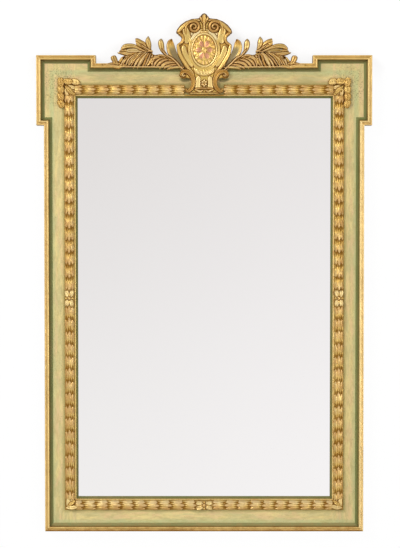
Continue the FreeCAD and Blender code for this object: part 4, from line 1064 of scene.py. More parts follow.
def build_boss():
    """The domed oval with its ring, rays and carved flower."""
    half_x, half_h = BOSS_HALVES
    middle = TOP + BOSS_HEIGHT
    carving = Carving(-31.5, 31.5, -41.5, 41.5, 0.5, base=middle, tints=TINTS + ("rose", "ring"))
    x, v = carving.x, carving.h - middle
    r = np.hypot(x / half_x, v / half_h)
    carving.inside = (1 - r) * half_x
    angle = np.arctan2(v * half_x / half_h, x)
    dome = 34.6 + 4.0 * np.sqrt(np.clip(1 - (r / 0.92) ** 2, 0, 1))
    flutes = np.cos(18 * angle)
    field = dome + 0.55 * flutes * step_between(r, 0.45, 0.65)
    ring = 34.6 + 3.8 * round_cut((r - 0.925) / 0.075)
    level = np.where(r < 0.84, field, np.where(r > 0.85, ring, 34.4))
    rays = step_between(r, 0.6, 0.66) * (1 - step_between(r, 0.78, 0.82))
    rose = 0.45 * step_between(flutes, -0.2, 0.5) * rays
    reach = np.hypot(x, v * 0.82)
    around = np.arctan2(v * 0.82, x)
    for size, turn, height, tint in BOSS_PETALS:
        wave = np.abs(np.cos((around + turn) * 3))
        lobe = size * (0.36 + 0.64 * wave**0.5)
        inner = reach < lobe
        share = np.clip(reach / lobe, 0, 1)
        body = height * (np.clip(1 - share**3, 0, 1) ** 0.5) * (0.3 + 0.7 * wave)
        crease = 0.6 * np.exp(-((np.sin((around + turn) * 3) / 0.13) ** 2)) * (reach > 5)
        level = np.where(inner, dome + body - crease, level)
        petal = step_between(share, 0.25, 0.4) * (1 - step_between(share, 0.84, 0.97))
        rose = np.where(inner, tint * step_between(wave, 0.2, 0.5) * petal, rose)
    level = np.where(reach < 5.4, dome + 1.5 + 1.6 * round_cut(reach / 5.4), level)
    carving.level = np.minimum(level, GREATEST_BOSS_LEVEL)
    rose = np.where(reach < 5.6, 0.0, rose)
    plain = rose < 0.3
    carving.tints["rose"] = rose
    carving.tints["ring"] = ((r > 0.86) & (r < 0.985)).astype(float)
    carving.tints["olive"] = 0.65 * step_between(-v, -4, 22) * plain
    carving.tints["brown"] = 0.3 * plain * (r < 0.84)
    carving.piece("crest_boss_carved", 33.0, ["crest_boss"])


build_boss()


# Sprays of acanthus on each side of the cartouche. Heights are from the frame's top edge

SPRAY_BODY = [
    (40, -11), (150, -10), (206, -11), (224, -8), (226, -2), (212, 3), (204, 2), (196, 6), (190, 14),
    (178, 20), (160, 25), (140, 28), (122, 27), (116, 20), (104, 18.6), (88, 14), (76, 18), (62, 20),
    (50, 12), (42, 0),
]
GREY, TAN, MOSS = {"silver": 1.0}, {"brown": 0.6}, {"olive": 0.35}
# The grey tint paints one leaf face of the right spray in shade; the cream one paints that face of the left
# spray pale, as highlight
SHADE, GREY_SHADE, CREAM_HIGHLIGHT = {"brown": 0.8, "silver": 0.2}, {"silver": 0.55}, {"pale": 0.5}
# Shape, depth, tip share, tints and stations of each leaf, the lowest first
SPRAY_CUTS = [
    ("scoop", 4.6, 0.2, GREY, [
        (47, -16, 4, 34.6), (57, -3, 7.0, 36.4), (66, 11, 9.2, 38.0), (73.4, 24, 10.4, 39.4),
        (77, 37, 9.8, 40.4), (76.6, 47, 7.4, 40.6), (74.0, 54.8, 3.4, 39.4),
    ]),
    ("leaf", 4.0, 0.2, TAN, [
        (66, 3, 4.0, 34.2), (78, 9, 6.0, 35.4), (90, 13.4, 6.0, 36.2), (104, 14.6, 5.6, 36.6),
        (115, 10, 6.0, 36.6), (121, 0, 5.0, 36.0),
    ]),
    ("leaf", 4.6, 0.12, MOSS, [
        (82, 12, 2.4, 36.0), (88.4, 21, 3.0, 37.8), (94.6, 29.4, 4.6, 39.0), (97.6, 38, 6.4, 39.6),
        (98.4, 47, 6.4, 39.6), (98.4, 55.6, 3.0, 38.8),
    ]),
    ("leaf", 4.0, 0.3, None, [
        (84, 13.4, 1.6, 37.0), (94, 17.8, 2.2, 38.4), (103, 18.6, 2.2, 38.8), (110, 15.4, 1.4, 38.0),
    ]),
    ("leaf", 4.2, 0.3, None, [
        (100, 13.4, 2.2, 37.0), (109, 13.4, 3.6, 38.6), (116.6, 9.4, 4.0, 38.8), (120.4, 1.4, 3.6, 38.4),
        (119, -8.6, 1.8, 37.0),
    ]),
    ("ridge", 3.6, 0.3, None, [
        (94, 11.6, 1.6, 37.0), (103.4, 8.2, 3.0, 38.6), (111.4, 0.6, 3.4, 38.8), (117.6, -10.0, 1.6, 37.4),
    ]),
    ("ridge", 3.6, 0.3, None, [
        (82, 8.6, 1.6, 37.2), (93.4, 6.2, 3.2, 38.8), (103.4, -1.6, 3.6, 39.0), (111, -12.4, 1.6, 37.4),
    ]),
    ("leaf", 3.6, 0.3, None, [
        (66, 1.6, 1.6, 37.0), (79, 1.8, 3.2, 38.6), (92.6, -2.6, 3.8, 39.0), (103.4, -13.4, 1.6, 37.4),
    ]),
    ("ridge", 3.4, 0.3, TAN, [
        (58, -4.2, 1.6, 37.0), (71, -3.6, 2.8, 38.4), (84, -7.0, 3.2, 38.6), (94.6, -14.4, 1.4, 37.0),
    ]),
    ("leaf", 3.4, 0.3, None, [
        (47, -10.0, 1.8, 37.0), (60, -8.8, 2.8, 38.2), (74, -10.6, 2.6, 38.0), (86, -14.6, 1.2, 36.8),
    ]),
    ("round", 2.6, 0.3, None, [
        (46, -15.6, 1.5, 38.2), (54.6, -7.4, 1.9, 39.4), (63, 0.6, 2.0, 40.0), (74, 11.6, 2.0, 40.2),
        (84, 17.2, 1.9, 40.2), (91.6, 24.6, 1.8, 40.4), (98.0, 33.6, 1.2, 40.2),
    ]),
    ("leaf", 3.6, 0.25, TAN, [
        (118, 18, 2.0, 36.0), (122, 8, 3.4, 37.0), (127, -1, 3.4, 37.0), (133, -8, 1.8, 36.0),
    ]),
    ("leaf", 4.4, 0.3, None, [
        (186, -6, 4.0, 36.2), (198, -2.6, 5.4, 38.0), (209, -2.4, 4.6, 38.2), (221, -1.0, 1.8, 37.0),
    ]),
    ("leaf", 4.0, 0.3, TAN, [
        (176, -7, 3.0, 37.2), (187, -6.4, 4.6, 38.8), (198, -8.4, 4.4, 38.6), (208, -11.0, 2.0, 37.4),
    ]),
    ("leaf", 5.0, 0.12, SHADE, [
        (197, -7, 3.6, 36.4), (201.4, 0.0, 5.2, 37.8), (205.0, 7.0, 6.6, 38.4), (207.0, 12.6, 6.8, 38.2),
        (208.4, 17.6, 5.4, 37.6),
    ]),
    ("leaf", 3.8, 0.2, None, [
        (197, -9, 3.4, 38.6), (210, -6.6, 4.0, 40.2), (222, -5.4, 3.0, 39.8), (233.6, -4, 1.2, 38.6),
    ]),
    ("leaf", 4.0, 0.3, TAN, [
        (166, 25.2, 2.2, 37.0), (177, 28.0, 3.4, 38.0), (187, 29.0, 2.8, 38.0), (194, 26.6, 1.4, 37.4),
    ]),
    ("leaf", 4.4, 0.24, MOSS, [
        (142, 23.4, 2.0, 37.4), (156, 22.2, 3.6, 38.8), (171, 20.8, 4.2, 39.2), (185, 22.4, 3.8, 39.0),
        (199.4, 24.2, 1.4, 37.6),
    ]),
    ("gutter", 3.2, 0.2, GREY_SHADE, [
        (138, 26.6, 1.6, 37.6), (149, 28.6, 3.6, 38.2), (160, 29.8, 4.6, 38.4), (171, 29.4, 4.0, 38.4),
        (178, 28, 2.0, 38.0),
    ]),
    ("leaf", 4.6, 0.14, MOSS, [
        (132, 26.2, 1.4, 38.4), (144, 31.2, 2.4, 39.6), (156, 36.8, 4.0, 40.0), (168, 39.4, 5.2, 40.2),
        (180, 38.6, 5.4, 40.0), (188.0, 34.0, 3.2, 38.8), (190.2, 29.8, 1.6, 38.0),
    ]),
    ("leaf", 4.8, 0.05, TAN, [
        (124, 27, 1.8, 37.6), (131.6, 33.4, 4.0, 38.8), (139, 40.6, 7.6, 40.0), (147.4, 46.0, 8.4, 40.6),
        (153.6, 48.2, 8.0, 40.2), (156.6, 48.8, 7.4, 39.8),
    ]),
    ("leaf", 4.8, 0.14, MOSS, [
        (121.4, 26, 1.8, 37.2), (124.2, 34, 3.4, 38.8), (127.4, 42.6, 5.6, 40.2), (128.6, 51, 6.0, 40.4),
        (127.8, 61.0, 2.0, 38.8),
    ]),
    ("round", 2.4, 0.3, None, [
        (121, 27.4, 1.4, 39.6), (129, 32.0, 1.6, 40.4), (137.6, 37.8, 1.6, 41.0), (147, 43.6, 1.2, 41.2),
    ]),
]
# Ribs that fan down from the eye: places of their stations, and the widest half-width
RIBS = [
    (((170, 19.0), (178.6, 12.8), (185.4, 4.6), (192, -7)), 2.8),
    (((160, 21.6), (171, 15.6), (180, 6.0), (187, -8.0)), 3.0),
    (((150.6, 23.4), (163.6, 16.0), (173.6, 5.6), (181.2, -8.4)), 3.3),
    (((144, 24.6), (157, 15.8), (167.2, 5.4), (175.4, -9.2)), 3.3),
    (((138, 25.4), (150.6, 15.6), (160.6, 4.6), (169, -10.4)), 3.3),
    (((133.4, 25.6), (144.4, 15.4), (153.8, 3.8), (162, -12.2)), 3.3),
    (((129.6, 25.0), (138.0, 15.0), (146.0, 3.0), (154, -13.2)), 3.4),
    (((126.2, 24.0), (131.4, 14), (137.4, 2.6), (145, -13.4)), 3.0),
    (((123.4, 22.8), (125.6, 12.6), (130, 1.6), (137.4, -12.4)), 2.5),
]
RIB_SHAPES = ("ridge", "leaf", "ridge", "gutter")
# Lift, width, brown and pale of one rib in three
RIB_KINDS = ((0.7, 1.2, 0.0, 0.22), (-0.7, 0.8, 0.6, 0.0), (0.2, 1.0, 0.25, 0.1))
EYE_BEAD = [(117.4, 16.6, 1.6, 38.6), (119.4, 15.2, 2.4, 39.6), (121, 12.8, 1.4, 38.6)]
EYE_CURL = [
    (117.6, 26.4, 1.8, 39.2), (121.5, 28.0, 2.4, 40.4), (126.4, 27.6, 1.6, 40.0), (132, 25.6, 1.0, 39.4),
]
FOOT_BEAD = [(50, -8.8, 1.3, 37.4), (95, -8.6, 1.7, 38.0), (150, -8.4, 1.7, 38.0), (214, -8.2, 1.4, 37.4)]


def carve_spray_leaves(carving, draw, mirror):
    """The leaves, laid one over another. The left spray is less regular than the right one."""
    for shape, depth, tip, tints, stations in SPRAY_CUTS:
        sway = draw.normal(0, 0.45, (len(stations), 2)) * (1.0 if mirror else 0.3)
        moved = [(x + dx, v + dv, half, level) for (x, v, half, level), (dx, dv) in zip(stations, sway)]
        # That leaf face gets painted shade on the right spray and painted highlight on the left
        if mirror and tints is GREY_SHADE:
            tints = CREAM_HIGHLIGHT
        carving.cut(moved, shape, depth, tip=tip, groove=2.6, reach=1.4, tints=tints or {"brown": 0.2})


def carve_spray_ribs(carving, draw):
    """The ribs that fan out from the spray's eye, higher and lower by turns."""
    for number, (line, half) in enumerate(RIBS):
        rise, width, brown, pale = RIB_KINDS[number % 3]
        lift = draw.normal(0, 0.3) + rise
        half *= width
        levels = (37.6, 39.4 + lift, 39.6 + lift, 37.4)
        widths = (0.4 * half, 0.86 * half, half * (1 + draw.normal(0, 0.06)), 0.6 * half)
        stations = [(x + draw.normal(0, 0.7), v + draw.normal(0, 0.9), width, level)
                    for (x, v), width, level in zip(line, widths, levels)]
        tints = {"brown": brown, "pale": pale}
        shape = RIB_SHAPES[number % 4]
        carving.cut(stations, shape, 4.2, tip=0.3, root=0.06, groove=2.6, reach=1.2, tints=tints)


def build_spray(side, mirror):
    """One spray: leaves, ribs, a bead at its foot and a small pit."""
    draw = np.random.default_rng(90 + mirror)
    carving = Carving(38, 236, -17, 65, 0.5, base=TOP)
    carving.ground(SPRAY_BODY, 31.5)
    carving.tints["brown"] += 0.4
    carve_spray_leaves(carving, draw, mirror)
    carve_spray_ribs(carving, draw)
    carving.cut(EYE_BEAD, "round", 2.6, tip=0.4, root=0.4, groove=1.6)
    carving.cut(EYE_CURL, "round", 2.6, tip=0.4, root=0.3, groove=1.6)
    bead_tints = {"pale": 0.12, "olive": 0.2}
    carving.cut(FOOT_BEAD, "round", 1.6, tip=0.05, root=0.05, groove=0.6, tints=bead_tints)
    x, v = carving.x, carving.h - TOP
    pit = np.hypot((x - 183) / 4.4, (v - 12) / 4.0)
    carving.level = carving.level - 8 * (1 - step_between(pit, 0.55, 1.1))
    carving.deepen("brown", step_between(v, 38, 46) * (x < 88) * 1.1)
    tips = step_between(v, 52, 58) * 0.6 + step_between(v, 47, 52) * 0.5 * (np.abs(x - 98) < 9)
    carving.deepen("silver", tips * (x > 88))
    edge_x, edge_v = np.array(CARTOUCHE_EDGE).T
    order = np.argsort(edge_v)
    shield = np.interp(v, edge_v[order], edge_x[order])
    carving.inside = np.minimum(carving.inside, x - shield + 2.4)
    back = np.where(carving.h > TOP, SPRAY_BACK, FRIEZE)
    floor = np.maximum(back + 2.5, 20.0)
    node = f"crest_spray_{side}"
    carving.piece(node + "_carved", back, [node], mirror=mirror, floor=floor, outline=0.9, deep=1.3)


build_spray("right", False)
build_spray("left", True)


# Hanging rings of round wire

def wire(name, path, radius, slot, replaces, body, sides=14):
    """A closed round wire along points in metres."""
    path = np.asarray(path, float)
    count = len(path)
    tangent = np.roll(path, -1, axis=0) - np.roll(path, 1, axis=0)
    tangent /= np.linalg.norm(tangent, axis=1)[:, None]
    across = np.cross(tangent, [0, 1, 0])
    across /= np.linalg.norm(across, axis=1)[:, None]
    up = np.cross(across, tangent)
    turn = np.linspace(0, 2 * np.pi, sides, endpoint=False)[None, :, None]
    points = path[:, None, :] + radius * (np.cos(turn) * across[:, None, :] + np.sin(turn) * up[:, None, :])
    ring = np.arange(count)[:, None] * sides
    spot = np.arange(sides)[None, :]
    after = (spot + 1) % sides
    following = (np.arange(count)[:, None] + 1) % count * sides
    quads = np.stack([ring + spot, ring + after, following + after, following + spot], axis=-1).reshape(-1, 4)
    return make_piece(name, points.reshape(-1, 3), [quads], slot, replaces, body, sharp=60.0)


RING_PIVOT = next(joint["pos_m"] for joint in frame["joints"] if joint["name"] == "ring_right_swing")
HANGER_X = round(RING_PIVOT[X] / METRE, 2)
RING_AXIS_P = round(-RING_PIVOT[Y] / METRE, 2)
RING_DROP = round(-RING_PIVOT[Z] / METRE, 2)
RING_HALF = 11.0
RING_CORNER = 3.4
RING_LEAN = math.radians(1.765)
WIRE_RADIUS = 1.6


def arc(x, v, radius, turns):
    """Points round a middle at the given angles."""
    return [(x + radius * math.cos(turn), v + radius * math.sin(turn)) for turn in map(math.radians, turns)]


def build_rings():
    """The D rings, stood up as they hang on their hooks."""
    shoulder = RING_DROP + WIRE_RADIUS - RING_HALF
    bend = RING_HALF - RING_CORNER
    line = [(x, 0.0) for x in np.linspace(-bend, bend, 9)]
    line += arc(bend, RING_CORNER, RING_CORNER, np.linspace(-90, 0, 7)[1:])
    line += [(RING_HALF, v) for v in np.linspace(RING_CORNER, shoulder, 6)[1:]]
    line += arc(0.0, shoulder, RING_HALF, np.linspace(0, 180, 25)[1:])
    line += [(-RING_HALF, v) for v in np.linspace(shoulder, RING_CORNER, 6)[1:]]
    line += arc(-bend, RING_CORNER, RING_CORNER, np.linspace(180, 270, 7)[1:-1])
    x, v = np.array(line).T
    for side, sign in (("right", 1), ("left", -1)):
        h = HOOK_HEIGHT - RING_DROP + v * math.cos(RING_LEAN)
        path = place(sign * (HANGER_X + x), h, RING_AXIS_P + v * math.sin(RING_LEAN))
        node = f"hanger_ring_{side}"
        wire(node + "_wire", path[::sign], WIRE_RADIUS * METRE, "steel", [node], f"ring_{side}")


build_rings()


# Finishes

FLOAT, VECTOR = "NodeSocketFloat", "NodeSocketVector"


class Graph:
    """A short hand for wiring shader nodes."""

    def __init__(self, tree):
        """Takes the tree that its nodes go into."""
        self.tree = tree
        self.nodes = tree.nodes
        self.links = tree.links

    def add(self, kind, **settings):
        """A new node with its settings."""
        node = self.nodes.new(kind)
        for key, value in settings.items():
            setattr(node, key, value)
        return node

    def feed(self, socket, value):
        """Gives a socket a value, or the output of another node."""
        if isinstance(value, bpy.types.NodeSocket):
            self.links.new(value, socket)
        elif value is not None:
            socket.default_value = value

    def give(self, sockets, **values):
        """Feeds sockets by name."""
        for key, value in values.items():
            self.feed(sockets[key.replace("_", " ")], value)

    def node(self, kind, inputs, output=0, **settings):
        """One output of a new node whose inputs are given by name or number."""
        node = self.add(kind, **settings)
        for key, value in inputs.items():
            self.feed(node.inputs[key], value)
        return node.outputs[output]

    def math(self, operation, a, b=None, clamp=False):
        """A Math node."""
        return self.node("ShaderNodeMath", {0: a, 1: b}, operation=operation, use_clamp=clamp)

    def times(self, a, b, clamp=False):
        """a times b."""
        return self.math("MULTIPLY", a, b, clamp)

    def plus(self, a, b, clamp=False):
        """a plus b."""
        return self.math("ADD", a, b, clamp)

    def minus(self, a, b):
        """a less b."""
        return self.math("SUBTRACT", a, b)

    def most(self, *values):
        """The greatest of some values."""
        first, *rest = values
        for value in rest:
            first = self.math("MAXIMUM", first, value)
        return first

    def distance(self, a, b):
        """The square root of the sum of two squares."""
        return self.math("SQRT", self.plus(self.math("POWER", a, 2.0), self.math("POWER", b, 2.0)))

    def blend(self, first, second, first_share):
        """Two values, each with its share of the whole."""
        return self.plus(self.times(first, first_share), self.times(second, round(1 - first_share, 2)))

    def mix(self, share, a, b, blend="MIX"):
        """Colour a where share is 0 and colour b where it is 1."""
        return self.node("ShaderNodeMix", {0: share, 6: a, 7: b}, 2, data_type="RGBA", blend_type=blend)

    def coats(self, colour, coats):
        """Coats laid one over another on a colour: where each lies, how strong it is, and its colour."""
        for share, strength, coat in coats:
            colour = self.mix(self.times(share, strength), colour, coat)
        return colour

    def scale(self, vector, amounts):
        """A vector scaled along each axis."""
        return self.node("ShaderNodeMapping", {"Vector": vector, "Scale": amounts})

    def noise(self, vector, size, detail=3.0, rough=0.55, twist=0.0):
        """Noise from 0 to 1."""
        inputs = {"Vector": vector, "Scale": size, "Detail": detail, "Roughness": rough, "Distortion": twist}
        return self.node("ShaderNodeTexNoise", inputs, "Fac")

    def span(self, value, low, high, start=0.0, end=1.0):
        """A soft step from start to end while a value goes from low to high."""
        inputs = {"Value": value, "From Min": low, "From Max": high, "To Min": start, "To Max": end}
        return self.node("ShaderNodeMapRange", inputs, interpolation_type="SMOOTHSTEP")

    def mask(self, name):
        """A mask painted on the mesh."""
        return self.node("ShaderNodeAttribute", {}, "Fac", attribute_type="GEOMETRY", attribute_name=name)

    def where(self, output="Object"):
        """The place of a point in metres, or another of its coordinates."""
        return self.node("ShaderNodeTexCoord", {}, output)

    def parts(self, vector):
        """The three parts of a vector."""
        node = self.add("ShaderNodeSeparateXYZ")
        self.feed(node.inputs[0], vector)
        return node.outputs["X"], node.outputs["Y"], node.outputs["Z"]

    def bump(self, height, strength, distance):
        """A normal for a slight relief."""
        inputs = {"Strength": strength, "Distance": distance, "Height": height}
        return self.node("ShaderNodeBump", inputs, "Normal")

    def finish(self, kind, shader):
        """The output that the graph ends in."""
        self.feed(self.add(kind).inputs["Surface"], shader)

    def group(self, tree, **inputs):
        """The outputs of a shader group."""
        node = self.add("ShaderNodeGroup", node_tree=tree)
        self.give(node.inputs, **inputs)
        return node.outputs


def new_group(name, inputs, outputs):
    """An empty shader group with named sockets."""
    tree = bpy.data.node_groups.new(name, "ShaderNodeTree")
    for label, kind, value in inputs:
        socket = tree.interface.new_socket(label, in_out="INPUT", socket_type=kind)
        if value is not None:
            socket.default_value = value
    for label in outputs:
        tree.interface.new_socket(label, in_out="OUTPUT", socket_type=FLOAT)
    graph = Graph(tree)
    entry = graph.add("NodeGroupInput")
    leave = graph.add("NodeGroupOutput")
    return graph, entry.outputs, leave.inputs


def wear_and_shade_group():
    """Where old gilding and paint are rubbed, where dirt and toning glaze have settled, and where hollows get
    painted shade.
    """
    inputs = [("Place", VECTOR, None), ("Hollow", FLOAT, 0.0), ("Edge", FLOAT, 0.0), ("Rub", FLOAT, 0.5),
              ("Glaze", FLOAT, 0.5)]
    graph, given, result = new_group("old_surface", inputs, ["Worn", "Dirt", "Tone", "Grain"])
    broad = graph.noise(given["Place"], 11.0, 4.0, 0.6)
    middle = graph.noise(given["Place"], 70.0, 4.0, 0.6)
    fine = graph.noise(given["Place"], 420.0, 3.0, 0.6)
    rub = graph.plus(graph.times(given["Edge"], 0.22), graph.times(given["Rub"], 0.35))
    # The hollow mask brings dirt and painted shade
    settled_and_shaded = graph.times(given["Hollow"], graph.plus(0.55, graph.times(middle, 0.9)))
    wash = graph.times(given["Glaze"], graph.span(broad, 0.35, 0.7, 0.1, 0.9))
    graph.give(
        result,
        Worn=graph.span(graph.plus(graph.blend(middle, fine, 0.6), rub), 0.66, 0.86),
        Dirt=graph.plus(graph.span(settled_and_shaded, 0.12, 0.95), graph.times(wash, 0.35), clamp=True),
        Tone=graph.span(broad, 0.32, 0.68),
        Grain=graph.blend(middle, fine, 0.5),
    )
    return graph.tree


def stretched_group(name, outputs):
    """An empty shader group whose second place is drawn out along the wood."""
    inputs = [("Place", VECTOR, None), ("Along", VECTOR, (1.0, 1.0, 1.0))]
    graph, given, result = new_group(name, inputs, outputs)
    drawn = graph.node("ShaderNodeVectorMath", {0: given["Place"], 1: given["Along"]}, operation="MULTIPLY")
    return graph, given["Place"], drawn, result


def paint_group():
    """Cloudy, streaked and specked old paint."""
    graph, at, drawn, result = stretched_group("old_paint", ["Cloud", "Blush", "Streak", "Speck", "Tooth"])
    cloud = graph.noise(drawn, 50.0, 5.0, 0.7, 0.4)
    blush = graph.noise(graph.scale(drawn, (1.0, 1.3, 0.9)), 64.0, 3.0, 0.65, 0.6)
    streak = graph.noise(drawn, 210.0, 4.0, 0.75)
    dots = graph.noise(at, 520.0, 2.0, 0.5)
    patches = graph.noise(at, 40.0, 2.0, 0.5)
    graph.give(
        result,
        Cloud=graph.span(cloud, 0.38, 0.62),
        Blush=graph.span(blush, 0.46, 0.64),
        Streak=streak,
        Speck=graph.times(graph.span(dots, 0.62, 0.72), graph.span(patches, 0.42, 0.66)),
        Tooth=graph.blend(streak, dots, 0.6),
    )
    return graph.tree


def wood_group():
    """Grain that runs along one way."""
    graph, _, drawn, result = stretched_group("wood_grain", ["Rings", "Pores"])
    swell = graph.noise(drawn, 8.0, 2.0, 0.4, 0.2)
    figure = graph.span(graph.math("SINE", graph.times(swell, 120.0)), -1.0, 1.0)
    fibre = graph.noise(graph.scale(drawn, (1.0, 1.0, 0.4)), 160.0, 4.0, 0.65)
    pores = graph.noise(graph.scale(drawn, (1.0, 1.0, 0.5)), 520.0, 3.0, 0.6)
    graph.give(result, Rings=graph.span(graph.blend(figure, fibre, 0.16), 0.26, 0.78), Pores=pores)
    return graph.tree


SURFACE_WEAR_AND_SHADE = wear_and_shade_group()
OLD_PAINT = paint_group()
WOOD_GRAIN = wood_group()


def rgb(red, green, blue):
    """An opaque colour."""
    return (red, green, blue, 1)


def new_finish(name):
    """An empty material with its graph and the inputs of its Principled shader."""
    material = bpy.data.materials.new(name)
    material.use_nodes = True
    return material, Graph(material.node_tree), material.node_tree.nodes["Principled BSDF"].inputs


MOSS_GOLD, RED_GOLD, HIGHLIGHT_GOLD = rgb(0.51, 0.365, 0.085), rgb(0.50, 0.26, 0.055), rgb(1.0, 0.78, 0.38)
ROSE_PAINT, RING_GOLD = rgb(0.55, 0.23, 0.15), rgb(1.0, 0.76, 0.32)
CREAM_PAINT_AND_HIGHLIGHT, TARNISH_AND_SHADE = rgb(0.95, 0.84, 0.50), rgb(0.16, 0.138, 0.078)
CARVED_BACK = rgb(0.46, 0.29, 0.13), rgb(0.32, 0.18, 0.075)


def gilding(name, light, deep, bole, glaze_and_shade):
    """Gold leaf over red bole, with brown glaze and painted shade in the hollows and painted highlight on
    crests.
    """
    material, graph, shader = new_finish(name)
    at = graph.where()
    masks = ("hollow", "edge", "pale", "rose", "ring", "silver", "olive", "brown")
    hollow, edge, pale, rose, ring, silver, olive, brown = map(graph.mask, masks)
    surface_marks = graph.group(SURFACE_WEAR_AND_SHADE, Place=at, Hollow=hollow, Edge=edge, Rub=0.3, Glaze=0.45)
    patches = graph.noise(graph.scale(at, (1.0, 1.0, 0.8)), 46.0, 3.0, 0.6, 0.3)
    moss = graph.most(graph.times(olive, 0.85), graph.span(patches, 0.46, 0.68, 0.0, 0.4))
    gold = graph.coats(graph.mix(surface_marks["Tone"], light, deep), [
        (moss, 1.0, MOSS_GOLD),
        (brown, 0.7, RED_GOLD),
        # Painted highlight on edges and crests
        (edge, graph.minus(0.72, graph.times(brown, 0.3)), HIGHLIGHT_GOLD),
        (rose, 0.85, ROSE_PAINT),
        (ring, 0.7, RING_GOLD),
    ])
    worn = graph.times(surface_marks["Worn"], graph.minus(0.6, graph.times(ring, 0.5)), clamp=True)
    colour = graph.coats(graph.mix(worn, gold, bole), [
        # Cream paint, which also paints highlights, and tarnish, which also paints shade; then glaze with
        # painted shade
        (pale, 0.85, CREAM_PAINT_AND_HIGHLIGHT),
        (silver, 0.85, TARNISH_AND_SHADE),
        (surface_marks["Dirt"], 0.92, glaze_and_shade),
    ])
    _, turned_back, _ = graph.parts(graph.where("Normal"))
    front = graph.span(turned_back, 0.4, 0.6, 1.0, 0.0)
    wood = graph.group(WOOD_GRAIN, Place=at, Along=(1.0, 1.0, 0.12))
    bare = graph.most(worn, pale, graph.times(surface_marks["Dirt"], 0.8), silver)
    rough = graph.plus(graph.times(surface_marks["Grain"], 0.22), 0.25)
    graph.give(
        shader,
        Base_Color=graph.mix(front, graph.mix(wood["Rings"], *CARVED_BACK), colour),
        Metallic=graph.times(graph.span(bare, 0.1, 0.95, 0.6, 0.1), front),
        Roughness=graph.plus(rough, graph.times(surface_marks["Dirt"], 0.25), clamp=True),
        Specular_IOR_Level=graph.span(surface_marks["Dirt"], 0.0, 1.0, 0.2, 0.05),
        Normal=graph.bump(surface_marks["Grain"], 0.3, 0.0006),
    )
    return material


PAINT, SECOND_PAINT = rgb(0.77, 0.62, 0.265), rgb(0.55, 0.49, 0.235)
BLUSH, STREAKS, SPECKS = rgb(0.76, 0.52, 0.27), rgb(0.44, 0.35, 0.125), rgb(0.11, 0.10, 0.035)
FAR_GREEN, NEAR_DIRT_AND_SHADE, SCROLL_SHADE = rgb(0.46, 0.53, 0.25), rgb(0.36, 0.305, 0.10), rgb(0.085, 0.075, 0.022)
# Multiplied in as painted shade towards the top and the right
TOP_RIGHT_SHADE = rgb(0.84, 0.82, 0.80)
SAWN_SIDE = rgb(0.36, 0.22, 0.09), rgb(0.23, 0.13, 0.055)
SAWN_BACK = rgb(0.54, 0.34, 0.16), rgb(0.36, 0.205, 0.085)
PEPPERED_CORNER = (0.012, 0.062)
SCROLL_SHADE_PLACE, SCROLL_SHADE_SIZE = (0.0440, 0.0765), (0.0115, 0.0060)


def paint_places(graph, at, paint):
    """Where the paint is far from the laurel, near it, peppered, and in painted shade at the top, right and
    under the scrolls.

    Places are in metres, those near the mouldings measured out from the laurel.
    """
    x, _, z = graph.parts(at)
    aside = graph.math("ABSOLUTE", x)
    across = graph.minus(aside, LAUREL_X * METRE)
    from_middle = graph.math("ABSOLUTE", graph.minus(z, (MIDDLE_HEIGHT - HOOK_HEIGHT) * METRE))
    up = graph.minus(from_middle, (LAUREL_HIGH - LAUREL_LOW) / 2 * METRE)
    out = graph.plus(graph.most(across, up), graph.span(paint["Tooth"], 0.3, 0.7, -0.0014, 0.0014))
    # A band of dirt and painted shade next to the laurel
    near = graph.span(out, 0.0, graph.span(paint["Cloud"], 0.0, 1.0, 0.007, 0.0105), 1.0, 0.0)
    far = graph.times(graph.span(out, 0.0185, 0.0265), graph.span(out, 0.030, 0.036, 1.0, 0.0))
    corner = graph.distance(graph.minus(across, PEPPERED_CORNER[0]), graph.minus(z, PEPPERED_CORNER[1]))
    dots = graph.span(graph.noise(at, 330.0, 1.0, 0.4), 0.56, 0.64)
    peppered = graph.times(graph.span(corner, 0.03, 0.062, 1.0, 0.0), dots)
    # Painted shade towards the top of the frame and on its right
    high = graph.times(graph.span(z, 0.0, 0.04), graph.span(aside, 0.24, 0.30, 1.0, 0.35))
    top_right_shade = graph.most(high, graph.span(x, 0.2, 0.35, 0.0, 0.5))
    under_x, under_z = (graph.math("POWER", graph.math("DIVIDE", graph.minus(value, middle), size), 2.0)
                        for value, middle, size in zip((aside, z), SCROLL_SHADE_PLACE, SCROLL_SHADE_SIZE))
    shaded = graph.span(graph.plus(under_x, under_z), 0.3, 1.8, 0.8, 0.0)
    return far, near, peppered, top_right_shade, shaded


